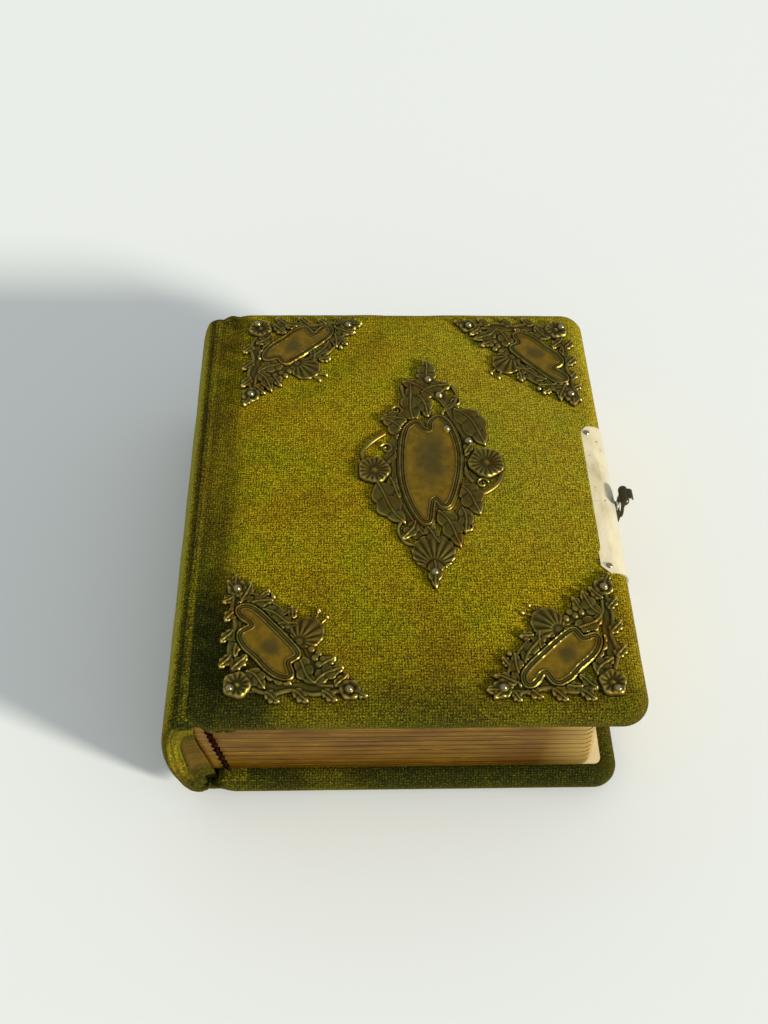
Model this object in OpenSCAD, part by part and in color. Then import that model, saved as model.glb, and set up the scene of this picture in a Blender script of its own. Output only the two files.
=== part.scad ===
// Velvet photograph album with stamped metal fittings, pocket leaves and a fore-edge clasp.
// Spine at -X, fore-edge at +X, tail at -Y, head at +Y, lying on its back cover on Z = 0.
// All sizes are in millimetres. X is first measured from the outermost line of the spine,
// and every part is then moved so that the origin is the middle of the closed album's base.

/* [Case] */
// Spine to fore-edge over the velvet
album_w = 125; // [118:1:132]
// Tail to head over the velvet
album_h = 144.4; // [136:0.2:152]
// Thickness of one padded cover at its edge
cover_t = 8.6; // [8:0.1:9.4]
// Extra height of the padding in the middle of the front cover
crown_h = 1.3; // [0.8:0.1:1.8]
// Corner radius of the covers at the fore-edge
corner_r = 7; // [5:0.5:9]
// Thickness of the velvet with its backing
velvet_t = 1.2; // [0.9:0.1:1.4]
// Thickness of the millboard in each cover
board_t = 2.5; // [2:0.1:3]

/* [Leaves] */
// Distance from one leaf to the next
leaf_pitch = 2.9; // [2.8:0.05:3]
// Thickness of one leaf
leaf_t = 2.6; // [2.4:0.05:2.65]
// Height of a leaf, tail to head
leaf_h = 135.2; // [124:0.2:135.2]
// Leaf width from its cloth hinge to the fore-edge
leaf_w = 102.9; // [96:0.1:103]
// Step of each leaf towards the fore-edge, going down the block
leaf_step = 0.34; // [0.1:0.02:0.4]
// Width of the picture window
window_w = 54; // [44:1:60]
// Height of the picture window
window_h = 86; // [74:1:94]

/* [Clasp] */
// Length of the clasp plates along the fore-edge
plate_l = 52; // [44:1:58]
// Sheet thickness of the plates
plate_t = 0.6; // [0.4:0.05:0.7]
// Width of the hasp at its hinge
hasp_w = 9; // [7:0.5:11]
// Width of the hasp under its bead
hasp_tip_w = 5.2; // [4.6:0.2:6.4]

/* [Fittings] */
// Length of the middle ornament
center_l = 83; // [76:1:86]
// Leg length of a corner ornament
corner_l = 37; // [33:1:39]
// Sheet thickness of the stamped ornaments
stamp_t = 0.5; // [0.4:0.1:0.7]

/* [Hidden] */

$fn = 48;
fit = 0.05;
sliver = 0.01;
half_h = album_h / 2;

// Levels of the closed album
back_top = 9;
block_clear = 0.5;
front_bottom = 42;
front_edge_top = front_bottom + cover_t;
front_top = front_edge_top + crown_h;
edge_r = cover_t / 2;
back_lift = 0.6;
back_edge_r = (back_top - back_lift) / 2;

paper_t = 0.4;

// Spine and joints
board_x = 12.6;
spine_mid_z = 25.5;
spine_r = 59.7;
spine_velvet_t = 1.6;
spine_liner_t = 2.1;
shoulder_r = 2.7;
shoulder_low = 3.8;
shoulder_high = 48.9;
lip_x = 9.2;
lip_t = 1.4;
spine_h = album_h - 2;
cap_l = 3.9;
cap_clear = 0.4;
cap_r = 42.3;
cap_in_x = 5.9;
cap_mid_z = 23;

// Leaves and stubs, numbered from the top of the block
leaf_count = 11;
block_top = back_top + block_clear + leaf_count * leaf_pitch;
hinge_x0 = 10.9;
stub_w = 3.4;
stub_gap = 0.6;
guard_t = 0.6;
guard_in = 0.3;
guard_out = 0.9;
leaf_corner_r = 4;
face_t = 0.6;
pocket_t = 0.45;
pocket_w = 64;
pocket_h = 105;
slit_w = 58;
slit_h = 1;
front_leaves = 5;
function hinge_x(i) = hinge_x0 + leaf_step * (i - 1);
function leaf_z(i) = block_top - leaf_pitch * i + (leaf_pitch - leaf_t);

// Clasp
clasp_y = -4;
plate_x = 117.4;
plate_cut = 3.4;
knuckle_r = 1.5;
pin_r = 0.7;
bore_r = 0.75;
knuckle_l = 6;
lug_l = 3;
lug_gap = 0.15;
pin_x = album_w + 2.2;
pin_z = 6.5;
hasp_t = 0.8;
waist_w = 4;
hasp_x = album_w + 1.9;
stud_r = 1.5;
stud_z = 46.3;
hole_r = 2;
bead_r = 1.35;
bead_l = 3.8;
bead_x = album_w + 2.25;
bead_z = 51.3;
lip_r = 1.3;
lip_sheet = 0.5;

// Fittings on the front cover
center_x = 72.3;
center_y = 6;
corner_x0 = 16;
corner_x1 = 120;
corner_y = half_h - 5;
corner_z = front_edge_top + 0.05;
corner_tilt = 0.6;
relief = 0.4;
rim_w = 1.5;
stem_w = 1.4;
spindle_taper = 1.31;
notch_share = 0.14;
nail_r = 0.95;
shank_r = 0.45;

// Overall length along X, from the spine to the outer side of the clasp's lip
overall_x = bead_x + bead_r + lip_r;
frame_x = overall_x / 2;

velvet_c = [0.49, 0.45, 0.10];
card_c = [0.86, 0.80, 0.66];
board_c = [0.62, 0.52, 0.38];
wadding_c = [0.93, 0.91, 0.85];
bronze_c = [0.42, 0.36, 0.20];
nickel_c = [0.84, 0.80, 0.68];
iron_c = [0.20, 0.20, 0.15];
cloth_c = [0.27, 0.13, 0.24];
nail_c = [0.80, 0.76, 0.62];

// Moves a part from spine measure into the album's own frame
module place() {
    translate([-frame_x, 0, 0]) children();
}

// Thin rounded slab of a cover, drawn in by inset on all four sides
module cover_slab(inset, z, h = sliver) {
    r_fore = max(corner_r - inset, 0.6);
    r_spine = max(3 - inset, 0.6);
    for (s = [-1, 1]) {
        translate([album_w - inset - r_fore, s * (half_h - inset - r_fore), z])
            cylinder(r = r_fore, h = h, $fn = 24);
        translate([board_x + inset + r_spine, s * (half_h - inset - r_spine), z])
            cylinder(r = r_spine, h = h, $fn = 24);
    }
}

// Pillow form of the front cover: full round edges and a crowned top
module front_pillow(skin) {
    hull() {
        for (a = [-90 : 30 : 90])
            cover_slab(skin + (edge_r - skin) * (1 - cos(a)),
                front_bottom + edge_r + (edge_r - skin) * sin(a) - (a > 0 ? sliver : 0));
        cover_slab(12, front_edge_top + crown_h * 0.55 - skin);
        cover_slab(25, front_top - skin - sliver);
    }
}

// Pillow form of the back cover: round edges and a base pressed flat
module back_pillow(skin) {
    hull() {
        for (a = [-90 : 30 : 90])
            cover_slab(skin + (back_edge_r - skin) * (1 - cos(a)),
                back_lift + back_edge_r + (back_edge_r - skin) * sin(a) - (a > 0 ? sliver : 0));
        cover_slab(10, skin);
    }
}

// Flat plate of a cover's own outline
module cover_plate(inset, z, h) {
    hull() cover_slab(inset, z, h);
}

// Space in the padding taken by the board, whose middle reaches down to the endpaper
module board_form(z_in, up, clear) {
    step = velvet_t + 0.1;
    z0 = up > 0 ? z_in + paper_t + fit : z_in - paper_t - fit - step;
    z1 = up > 0 ? z_in + step : z_in - step - board_t;
    cover_plate(5.2 - clear, z0, step);
    cover_plate(4.2 - clear, z1 - clear, board_t + 2 * clear);
}

module front_board() {
    color(board_c) place() board_form(front_bottom, 1, 0);
}

module back_board() {
    color(board_c) place() board_form(back_top, -1, 0);
}

module front_padding() {
    color(wadding_c) place() difference() {
        front_pillow(velvet_t + fit);
        board_form(front_bottom, 1, fit);
        corner_seats(velvet_t + fit);
        plate_seat(velvet_t + fit);
    }
}

module back_padding() {
    color(wadding_c) place() difference() {
        back_pillow(velvet_t + fit);
        board_form(back_top, -1, fit);
    }
}

// Tilted flats that the corner ornaments press into the plush
module corner_seats(sink) {
    for (c = [0 : 3])
        at_corner(c) translate([-1, -1, -sink])
            linear_extrude(8) polygon([[0, 0], [corner_l + 2.4, 0], [corner_l + 2.4, 7.4],
                [33, 21], [21, 34.6], [7.4, corner_l + 2.4], [0, corner_l + 2.4]]);
}

// Flat under the top flange of the upper clasp plate
module plate_seat(sink) {
    translate([plate_x - 0.4 - sink, clasp_y - plate_l / 2 - 0.4, front_edge_top - sink])
        cube([12, plate_l + 0.8, 8]);
}

module front_velvet() {
    color(velvet_c) place() union() {
        difference() {
            front_pillow(0);
            front_pillow(velvet_t);
            cover_plate(5, front_bottom - 1, velvet_t + 2);
            corner_seats(0);
            plate_seat(0);
        }
        translate([lip_x, -spine_h / 2, shoulder_high - lip_t - 0.6])
            cube([board_x + 0.4 - lip_x, spine_h, lip_t]);
    }
}

module back_velvet() {
    color(velvet_c) place() union() {
        difference() {
            back_pillow(0);
            back_pillow(velvet_t);
            cover_plate(5, back_top - velvet_t - 1, velvet_t + 2);
            translate([plate_x - 0.4, clasp_y - plate_l / 2 - 0.4, -1])
                cube([12, plate_l + 0.8, 1 + back_lift + fit]);
        }
        translate([lip_x, -spine_h / 2, shoulder_low + 0.6])
            cube([board_x + 0.4 - lip_x, spine_h, lip_t]);
    }
}

module front_endpaper() {
    color(card_c) place() cover_plate(5.1, front_bottom, paper_t);
}

module back_endpaper() {
    color(card_c) place() cover_plate(5.1, back_top - paper_t, paper_t);
}

// Band of the spine's curve, between two depths under its outer face
module spine_band(d0, d1, z0, z1) {
    intersection() {
        translate([spine_r, spine_mid_z]) difference() {
            circle(r = spine_r - d0, $fn = 180);
            circle(r = spine_r - d1, $fn = 180);
        }
        translate([-1, z0]) square([14, z1 - z0]);
    }
}

// Rounded shoulder at one end of the spine, turned from the face into the joint
module shoulder(z_end, up) {
    cz = z_end - up * shoulder_r;
    face_x = spine_r - sqrt(pow(spine_r, 2) - pow(cz - spine_mid_z, 2));
    translate([face_x + shoulder_r, cz]) intersection() {
        difference() {
            circle(r = shoulder_r);
            circle(r = shoulder_r - spine_velvet_t);
        }
        translate([-shoulder_r, up > 0 ? 0 : -shoulder_r]) square([shoulder_r + 0.8, shoulder_r]);
    }
}

// Turns a section drawn in X and Z into a solid along the album's height
module along_y(l, y0) {
    translate([0, y0 + l, 0]) rotate([90, 0, 0]) linear_extrude(l) children();
}

module spine_velvet() {
    color(velvet_c) place() along_y(spine_h, -spine_h / 2) union() {
        spine_band(0, spine_velvet_t, shoulder_low + shoulder_r, shoulder_high - shoulder_r);
        shoulder(shoulder_high, 1);
        shoulder(shoulder_low, -1);
    }
}

module spine_liner() {
    d0 = spine_velvet_t + fit;
    color(board_c) place() along_y(spine_h - 2 * cap_l - 1, -spine_h / 2 + cap_l + 0.5)
        spine_band(d0, d0 + spine_liner_t, shoulder_low + 3.2, shoulder_high - 3.2);
}

// Velvet roll turned in over the end of the spine, thickest at the joints
module cap_section() {
    difference() {
        translate([spine_r, spine_mid_z])
            circle(r = spine_r - spine_velvet_t - fit, $fn = 180);
        translate([cap_in_x + cap_r, cap_mid_z]) circle(r = cap_r, $fn = 120);
        translate([-1, -40]) square([140, 40 + shoulder_low + 2.8]);
        translate([-1, 41]) square([140, 60]);
        translate([9.6, -10]) square([140, 80]);
    }
}

module tail_cap() {
    color(velvet_c) place() along_y(cap_l, -half_h + cap_clear) cap_section();
}

module head_cap() {
    color(velvet_c) place() along_y(cap_l, half_h - cap_clear - cap_l) cap_section();
}

// Card stubs that space the leaves at the spine, glued into two stepped packets
module stub(i) {
    translate([hinge_x(i) - stub_gap - stub_w, -leaf_h / 2, leaf_z(i)])
        cube([stub_w, leaf_h, i == front_leaves + 1 ? leaf_t : leaf_pitch]);
}

module front_stubs() {
    color(board_c) place() for (i = [1 : front_leaves]) stub(i);
}

module back_stubs() {
    color(board_c) place() for (i = [front_leaves + 1 : leaf_count]) stub(i);
}

// Outline of a leaf with rounded fore-edge corners
module leaf_outline(w) {
    r = leaf_corner_r;
    union() {
        translate([0, -leaf_h / 2]) square([w - r, leaf_h]);
        translate([w - r - 1, -leaf_h / 2 + r]) square([r + 1, leaf_h - 2 * r]);
        for (s = [-1, 1]) translate([w - r, s * (leaf_h / 2 - r)]) circle(r = r);
    }
}

// Arch-topped picture window
module window_outline() {
    r = window_w / 2;
    union() {
        translate([-r, -window_h / 2]) square([window_w, window_h - r]);
        intersection() {
            translate([0, window_h / 2 - r]) circle(r = r, $fn = 96);
            translate([-r, 0]) square([window_w, window_h]);
        }
    }
}

// One face of a leaf: the window, the pocket behind it and the slit that feeds the pocket
module leaf_face_cut(z_face, up) {
    z_pocket = up > 0 ? z_face - face_t - pocket_t : z_face + face_t;
    z_window = up > 0 ? z_face - face_t - sliver : z_face - 1;
    slit_y = -window_h / 2 - 8;
    translate([0, 0, z_window]) linear_extrude(face_t + 1 + sliver) window_outline();
    translate([-slit_w / 2, slit_y, z_window]) cube([slit_w, slit_h, face_t + 1 + sliver]);
    translate([-pocket_w / 2, slit_y - 1, z_pocket]) cube([pocket_w, pocket_h, pocket_t]);
}

// A pocket leaf: two printed faces over a core, open at the windows
module leaf(i) {
    w = leaf_w - guard_out;
    color(card_c) place() translate([hinge_x(i) + guard_out, 0, leaf_z(i)]) difference() {
        linear_extrude(leaf_t) leaf_outline(w);
        translate([w / 2, 0, 0]) {
            leaf_face_cut(leaf_t, 1);
            leaf_face_cut(0, -1);
        }
    }
}

// Cloth hinge between a leaf and its stub
module guard(i) {
    color(cloth_c) place()
        translate([hinge_x(i) - guard_in, -leaf_h / 2, leaf_z(i) + (leaf_t - guard_t) / 2])
            cube([guard_in + guard_out, leaf_h, guard_t]);
}

// Bent section of a clasp plate: a flange on the cover's face and a wrap round its edge
module plate_section(r, cx, cz, up) {
    wrap = 50;
    union() {
        translate([cx, cz]) difference() {
            circle(r = r + plate_t);
            circle(r = r + fit);
            translate([-20, -20]) square([20, 40]);
            rotate(up > 0 ? -wrap : wrap) translate([-20, up > 0 ? -20 : 0]) square([40, 20]);
        }
        translate([plate_x, up > 0 ? cz + r + fit : cz - r - plate_t])
            square([cx - plate_x + fit, plate_t - fit]);
    }
}

// Clips the ends of the flange on the slant
module plate_ends(z) {
    for (s = [-1, 1])
        translate([plate_x, clasp_y + s * plate_l / 2, z]) rotate(45)
            cube([plate_cut, plate_cut, 6], center = true);
}

module upper_clasp_plate() {
    cx = album_w - edge_r;
    color(nickel_c) place() difference() {
        along_y(plate_l, clasp_y - plate_l / 2)
            plate_section(edge_r, cx, front_bottom + edge_r, 1);
        plate_ends(front_edge_top);
        at_plate_nails(front_edge_top - 3) cylinder(r = 0.5, h = 6, $fn = 24);
        translate([album_w - 3, clasp_y, stud_z]) rotate([0, 90, 0]) cylinder(r = 0.8, h = 6);
    }
}

module at_plate_nails(z) {
    for (s = [-1, 1]) translate([plate_x + 2.3, clasp_y + s * (plate_l / 2 - 2.4), z]) children();
}

// Domed nail: a shank in the cover and a button head on the sheet
module nail(r, drop) {
    translate([0, 0, -drop]) cylinder(r = shank_r, h = drop + 0.2, $fn = 24);
    intersection() {
        translate([0, 0, -r * 0.5]) sphere(r = r * 1.1, $fn = 24);
        cylinder(r = r * 1.2, h = r * 2, $fn = 24);
    }
}

module upper_plate_nails() {
    color(nail_c) place() at_plate_nails(front_edge_top + plate_t) nail(nail_r, plate_t);
}

// Stud of the upper plate, which the hole of the hasp closes over
module catch_stud() {
    color(nickel_c) place() translate([album_w + 0.55, clasp_y, stud_z]) rotate([0, 90, 0]) {
        translate([0, 0, 0.05]) cylinder(r1 = stud_r, r2 = stud_r - 0.35, h = 0.95);
        translate([0, 0, -plate_t + 2 * fit]) cylinder(r = 0.75, h = plate_t);
    }
}

module lower_clasp_plate() {
    cx = album_w - back_edge_r;
    cz = back_lift + back_edge_r;
    color(nickel_c) place() difference() {
        union() {
            difference() {
                along_y(plate_l, clasp_y - plate_l / 2)
                    plate_section(back_edge_r, cx, cz, -1);
                plate_ends(back_lift);
            }
            for (s = [-1, 1]) {
                y0 = clasp_y + s * (knuckle_l / 2 + lug_gap + lug_l / 2) - lug_l / 2;
                translate([pin_x, y0 + lug_l, pin_z]) rotate([90, 0, 0])
                    cylinder(r = knuckle_r, h = lug_l);
                translate([album_w + 0.1, y0, pin_z - 1.1]) cube([pin_x - album_w, lug_l, 2.2]);
            }
        }
        translate([pin_x, clasp_y + 10, pin_z]) rotate([90, 0, 0]) cylinder(r = pin_r, h = 20);
        at_plate_nails(-1) cylinder(r = 0.5, h = 4, $fn = 24);
    }
}

module lower_plate_nails() {
    color(nail_c) place() at_plate_nails(fit) cylinder(r = shank_r, h = back_lift, $fn = 24);
}

module hasp_pin() {
    l = knuckle_l + 2 * (lug_gap + lug_l) + 0.6;
    color(iron_c) place() translate([pin_x, clasp_y + l / 2, pin_z]) rotate([90, 0, 0])
        cylinder(r = pin_r, h = l);
}

// Face view of the hasp's strap: wide at the hinge, waisted, with a round eye for the stud
module strap_outline() {
    z_top = bead_z - 0.4;
    union() {
        for (s = [-1, 1]) polygon([[0, pin_z], [s * knuckle_l / 2, pin_z],
            [s * knuckle_l / 2, pin_z + knuckle_r + 0.4], [s * hasp_w / 2, pin_z + 5.6],
            [s * hasp_w / 2, pin_z + 8], [s * waist_w / 2, pin_z + 22],
            [s * waist_w / 2, stud_z - 6], [s * hasp_tip_w / 2, z_top], [0, z_top]]);
        translate([0, stud_z]) circle(r = hole_r + 1.3);
    }
}

module hasp() {
    color(iron_c) place() difference() {
        union() {
            translate([hasp_x, clasp_y, 0]) rotate([90, 0, 90]) linear_extrude(hasp_t)
                strap_outline();
            translate([pin_x, clasp_y + knuckle_l / 2, pin_z]) rotate([90, 0, 0])
                cylinder(r = knuckle_r, h = knuckle_l);
            translate([bead_x, clasp_y + bead_l / 2, bead_z]) rotate([90, 0, 0])
                cylinder(r = bead_r, h = bead_l);
            for (s = [-1, 1]) translate([bead_x, clasp_y + s * bead_l / 2, bead_z])
                sphere(r = bead_r, $fn = 32);
            along_y(3.4, clasp_y - 1.7) translate([bead_x + bead_r, bead_z]) difference() {
                circle(r = lip_r);
                circle(r = lip_r - lip_sheet);
                translate([-3, -3]) square([6, 3]);
            }
        }
        translate([pin_x, clasp_y + 10, pin_z]) rotate([90, 0, 0]) cylinder(r = bore_r, h = 20);
        translate([hasp_x - 2, clasp_y, stud_z]) rotate([0, 90, 0]) cylinder(r = hole_r, h = 5);
    }
}

// Pointed oval: the overlap of two equal circles
module pointed_oval(l, w) {
    r = (l * l + w * w) / (4 * w);
    intersection() {
        translate([r - w / 2, 0]) circle(r = r, $fn = 96);
        translate([w / 2 - r, 0]) circle(r = r, $fn = 96);
    }
}

// Stamped leaf: a pointed oval with a raised midrib and side veins
module stamped_leaf(x, y, a, l, w) {
    translate([x, y, 0]) rotate(a) {
        linear_extrude(stamp_t + relief) pointed_oval(l, w);
        linear_extrude(stamp_t + 2 * relief) pointed_oval(l * 0.86, w * 0.2);
    }
}

// Stamped flower: round petals about a domed heart
module stamped_flower(x, y, r, n) {
    translate([x, y, 0]) {
        linear_extrude(stamp_t + relief) for (k = [0 : n - 1])
            rotate(k * 360 / n) translate([r * 0.62, 0]) circle(r = r * 0.4, $fn = 32);
        cylinder(r = r * 0.6, h = stamp_t + 1.4 * relief);
        intersection() {
            translate([0, 0, stamp_t + 2 * relief - r * 0.5]) sphere(r = r * 0.5, $fn = 48);
            cylinder(r = r, h = 4);
        }
    }
}

// Flat boss that a nail head seats on
module boss(p) {
    translate([p[0], p[1], 0]) cylinder(r = nail_r + 0.15, h = stamp_t + 2 * relief, $fn = 32);
}

// Pointed oval with its tips cut round
module spindle(l, w) {
    intersection() {
        pointed_oval(spindle_taper * l, w);
        circle(d = l, $fn = 96);
    }
}

// Spindle with a round notch beside each tip, all drawn inset from its edge
module notched_spindle(l, w, inset) {
    difference() {
        spindle(l - 2 * inset, w - 2 * inset);
        for (a = [0, 180]) rotate(a) translate([-0.06 * w, 0.46 * l])
            circle(r = notch_share * w + inset, $fn = 40);
    }
}

// Blank panel: a plain outer rim, and an inner rim that follows the notches
module blank_panel(l, w) {
    field_l = l - 4.4 * rim_w;
    field_w = w - 1.6 * rim_w;
    linear_extrude(stamp_t) spindle(l, w);
    linear_extrude(stamp_t + 1.5 * relief) difference() {
        spindle(l, w);
        spindle(l - 3.4 * rim_w, w - rim_w);
    }
    linear_extrude(stamp_t + relief) difference() {
        notched_spindle(field_l, field_w, 0);
        notched_spindle(field_l, field_w, 0.6 * rim_w);
    }
}

// Scroll: an open ring ending in a ball
module scroll(x, y, a, r, t) {
    translate([x, y, 0]) rotate(a) {
        linear_extrude(stamp_t + 1.2 * relief) difference() {
            circle(r = r, $fn = 40);
            circle(r = r - t, $fn = 40);
            translate([0, -2 * r]) square([2 * r, 2 * r]);
        }
        translate([0, -r + t * 0.6, 0]) cylinder(r = t * 0.9, h = stamp_t + 1.6 * relief, $fn = 24);
    }
}

// Ribbed shell: a fan of narrow ribs over a round back
module ribbed_shell(x, y, a, r, n) {
    translate([x, y, 0]) rotate(a) {
        linear_extrude(stamp_t + 0.5 * relief) pointed_oval(1.5 * r, 2 * r - 0.2);
        for (k = [0 : n - 1]) rotate(-70 + 140 * k / (n - 1)) translate([0, r * 0.55, 0])
            linear_extrude(stamp_t + 1.4 * relief) pointed_oval(r * 0.9, r * 0.16);
        translate([0, -r * 0.1, 0]) cylinder(r = r * 0.26, h = stamp_t + 2 * relief, $fn = 32);
    }
}

// Leaves of the middle ornament: place, turn, length and width of each
center_leaves = [
    [-2.6, 29.8, 61, 12.5, 6.2], [3.3, 29.8, -70, 12, 5.8], [-4.4, 24.2, 3, 15.2, 5.8],
    [-10, 17.4, 91, 9, 4.8], [-9.8, 14, 47, 12.4, 7], [-13.4, 7.4, -50, 9, 4],
    [-11.6, -13.2, 28, 17.4, 7.4], [-10.5, -8, 21, 9.4, 4.4], [-7.2, -22.6, -33, 9, 4.2],
    [12.3, 14.5, 30, 17.4, 7.8], [6.8, 24.4, -20, 9, 4.4], [11, 6.4, -27, 8.4, 3.8],
    [10.4, -12, 28, 13.4, 7], [14.6, -7.4, -62, 8, 3.6], [8.3, -19.3, 4, 10, 4.6],
    [4.2, -22.2, 25, 14.6, 6], [-0.6, -24.1, 33, 9, 4.6]];

// Nail places on the middle ornament and on each corner ornament
center_nails = [[0.8, 33.6], [3.8, 27.2], [5.4, 13.8], [11.6, 9.2], [-0.5, -36.4]];
corner_nails = [[corner_l - 4.4, 3], [3, corner_l - 4.4], [2.6, 3.6]];

module center_ornament() {
    color(bronze_c) place() translate([center_x, center_y, front_top]) {
        blank_panel(45, 19.4);
        linear_extrude(stamp_t) difference() {
            pointed_oval(60, 25);
            for (s = [-1, 1], t = [-1, 1]) translate([s * 10.4, t * 2.4]) circle(r = 0.8);
            for (s = [-1, 1]) translate([s * 2.2, 24.6]) circle(r = 1);
        }
        for (p = center_nails) boss(p);
        for (f = center_leaves) stamped_leaf(f[0], f[1], f[2], f[3], f[4]);
        stamped_leaf(0.5, center_l / 2 - 5, 0, 10, 6.2);
        stamped_flower(-16.3, -1.2, 5.4, 8);
        stamped_flower(16.3, 1, 5.8, 8);
        ribbed_shell(-0.6, -32, 0, 7.2, 9);
        stamped_leaf(0, 5 - center_l / 2, 0, 10, 4.4);
        scroll(7.6, 26.2, 200, 2.4, 1);
        scroll(-8.8, 21.2, 100, 2.4, 1);
        scroll(8.6, -22.6, 280, 2.4, 1);
        scroll(-8, -26.4, 20, 2.4, 1);
    }
}

// Leaves of a corner ornament: the spray along its X leg, then the spray along its Y leg
corner_leaves = [
    [13.6, 1.3, 54, 6.4, 3.6], [20.6, 1.4, 52, 6.4, 3.6], [27.6, 1.5, 56, 6.4, 3.4],
    [9, 5.8, 45, 8.4, 4.6], [14.7, 6, 67, 9, 4.6], [22, 8.5, 30, 10.4, 5],
    [27.2, 6.4, -59, 11, 4.4], [25, 13.2, -24, 7.6, 4.2],
    [1.4, 11.3, -36, 6.4, 3.6], [1.4, 18.5, -39, 6.4, 3.6], [1.9, 24.9, -33, 6.6, 3.8],
    [4, 15.6, -6, 8.4, 4.2], [4.8, 11, -40, 7, 3.8], [5, 31.2, -22, 8.4, 3.6],
    [2.2, 32.6, 40, 7.4, 3.6], [8.8, 28, -75, 9.6, 4.6], [13.5, 24, 57, 10, 4.6],
    [16.6, 21.8, -86, 7.4, 4.2]];

// Corner ornament, drawn with its outer corner at the origin and its legs along X and Y
module corner_ornament() {
    translate([11.4, 14.2, 0]) rotate(33.4) {
        blank_panel(27, 11.6);
        linear_extrude(stamp_t) pointed_oval(34, 17);
    }
    linear_extrude(stamp_t) translate([14.6, 14]) circle(r = 10);
    // a stem along each leg, from the flower in the corner to the nail at the tip
    translate([4, 3 - stem_w / 2, 0]) cube([corner_l - 8, stem_w, stamp_t + 0.5 * relief]);
    translate([3 - stem_w / 2, 4, 0]) cube([stem_w, corner_l - 8, stamp_t + 0.5 * relief]);
    for (p = corner_nails) boss(p);
    ribbed_shell(21.2, 18.2, -38, 5.8, 8);
    stamped_flower(4.2, 4, 3.8, 6);
    for (f = corner_leaves) stamped_leaf(f[0], f[1], f[2], f[3], f[4]);
    stamped_leaf(corner_l - 4, 3, -90, 8, 4.6);
    stamped_leaf(3, corner_l - 4, 0, 8, 4.6);
    scroll(18.8, 6.8, 250, 2.2, 0.8);
    scroll(6.6, 23, 200, 2.2, 0.8);
}

// Four corners of the cover, counted round from the tail at the spine, each a quarter turn on
module at_corner(c) {
    fore = c == 1 || c == 2;
    head = c > 1;
    translate([fore ? corner_x1 : corner_x0, (head ? 1 : -1) * corner_y, corner_z])
        rotate(90 * c) rotate(a = corner_tilt, v = [1, -1, 0]) children();
}

module tail_spine_corner() {
    color(bronze_c) place() at_corner(0) corner_ornament();
}

module tail_fore_corner() {
    color(bronze_c) place() at_corner(1) corner_ornament();
}

module head_fore_corner() {
    color(bronze_c) place() at_corner(2) corner_ornament();
}

module head_spine_corner() {
    color(bronze_c) place() at_corner(3) corner_ornament();
}

// Bright nail heads on the ornaments, each seated on the metal under it
module ornament_nails() {
    color(nail_c) place() {
        for (p = center_nails)
            translate([center_x + p[0], center_y + p[1], front_top + stamp_t + 2 * relief])
                nail(nail_r, 0);
        for (c = [0 : 3]) at_corner(c) for (p = corner_nails)
            translate([p[0], p[1], stamp_t + 2 * relief]) nail(nail_r * 0.9, 0);
    }
}

back_board();
back_padding();
back_velvet();
back_endpaper();
back_stubs();
lower_clasp_plate();
lower_plate_nails();
hasp_pin();
hasp();
spine_liner();
spine_velvet();
tail_cap();
head_cap();
front_board();
front_padding();
front_velvet();
front_endpaper();
front_stubs();
center_ornament();
tail_spine_corner();
tail_fore_corner();
head_spine_corner();
head_fore_corner();
ornament_nails();
upper_clasp_plate();
upper_plate_nails();
catch_stud();
leaf(1);  // leaf_01
leaf(2);  // leaf_02
leaf(3);  // leaf_03
leaf(4);  // leaf_04
leaf(5);  // leaf_05
leaf(6);  // leaf_06
leaf(7);  // leaf_07
leaf(8);  // leaf_08
leaf(9);  // leaf_09
leaf(10);  // leaf_10
leaf(11);  // leaf_11
guard(1);  // guard_01
guard(2);  // guard_02
guard(3);  // guard_03
guard(4);  // guard_04
guard(5);  // guard_05
guard(6);  // guard_06
guard(7);  // guard_07
guard(8);  // guard_08
guard(9);  // guard_09
guard(10);  // guard_10
guard(11);  // guard_11
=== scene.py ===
# Looks of a velvet photograph album with stamped metal fittings, built round its CAD model.
# Lengths are in millimetres, measured from the spine's outer line in X, until write_points() turns
# them into the frame's metres.
import math

import bmesh
import bpy
import numpy as np
from mathutils import Matrix, Vector


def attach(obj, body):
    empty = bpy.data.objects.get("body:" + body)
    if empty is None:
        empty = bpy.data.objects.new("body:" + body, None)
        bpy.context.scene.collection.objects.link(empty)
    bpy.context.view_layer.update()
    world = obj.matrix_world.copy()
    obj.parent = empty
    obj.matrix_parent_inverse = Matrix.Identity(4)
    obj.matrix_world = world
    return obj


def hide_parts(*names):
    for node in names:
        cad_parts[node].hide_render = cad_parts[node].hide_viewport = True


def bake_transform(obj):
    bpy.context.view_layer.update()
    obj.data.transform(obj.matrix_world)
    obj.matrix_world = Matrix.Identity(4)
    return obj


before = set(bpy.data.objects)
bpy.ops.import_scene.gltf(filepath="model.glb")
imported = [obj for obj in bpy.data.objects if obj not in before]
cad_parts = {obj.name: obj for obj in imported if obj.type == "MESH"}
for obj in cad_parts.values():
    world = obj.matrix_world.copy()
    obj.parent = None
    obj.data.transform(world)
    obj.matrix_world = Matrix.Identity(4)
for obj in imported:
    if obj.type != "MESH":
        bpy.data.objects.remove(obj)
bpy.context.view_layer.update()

MM = 0.001
# X of the frame's origin, and the level half way between the covers
SPINE_TO_MIDDLE = 64.95
MIDDLE_LEVEL = 25.5
# covers: half their height, X of the fore edge and radius of the outline's corners
HALF_HEIGHT = 72.2
FORE_EDGE = 125.0
COVER_CORNER = 7.0
# upper clasp plate: Y of its middle, half its length and X of its inner edge
PLATE_Y = -4.0
PLATE_HALF = 28.0
PLATE_START = 114.0
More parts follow.
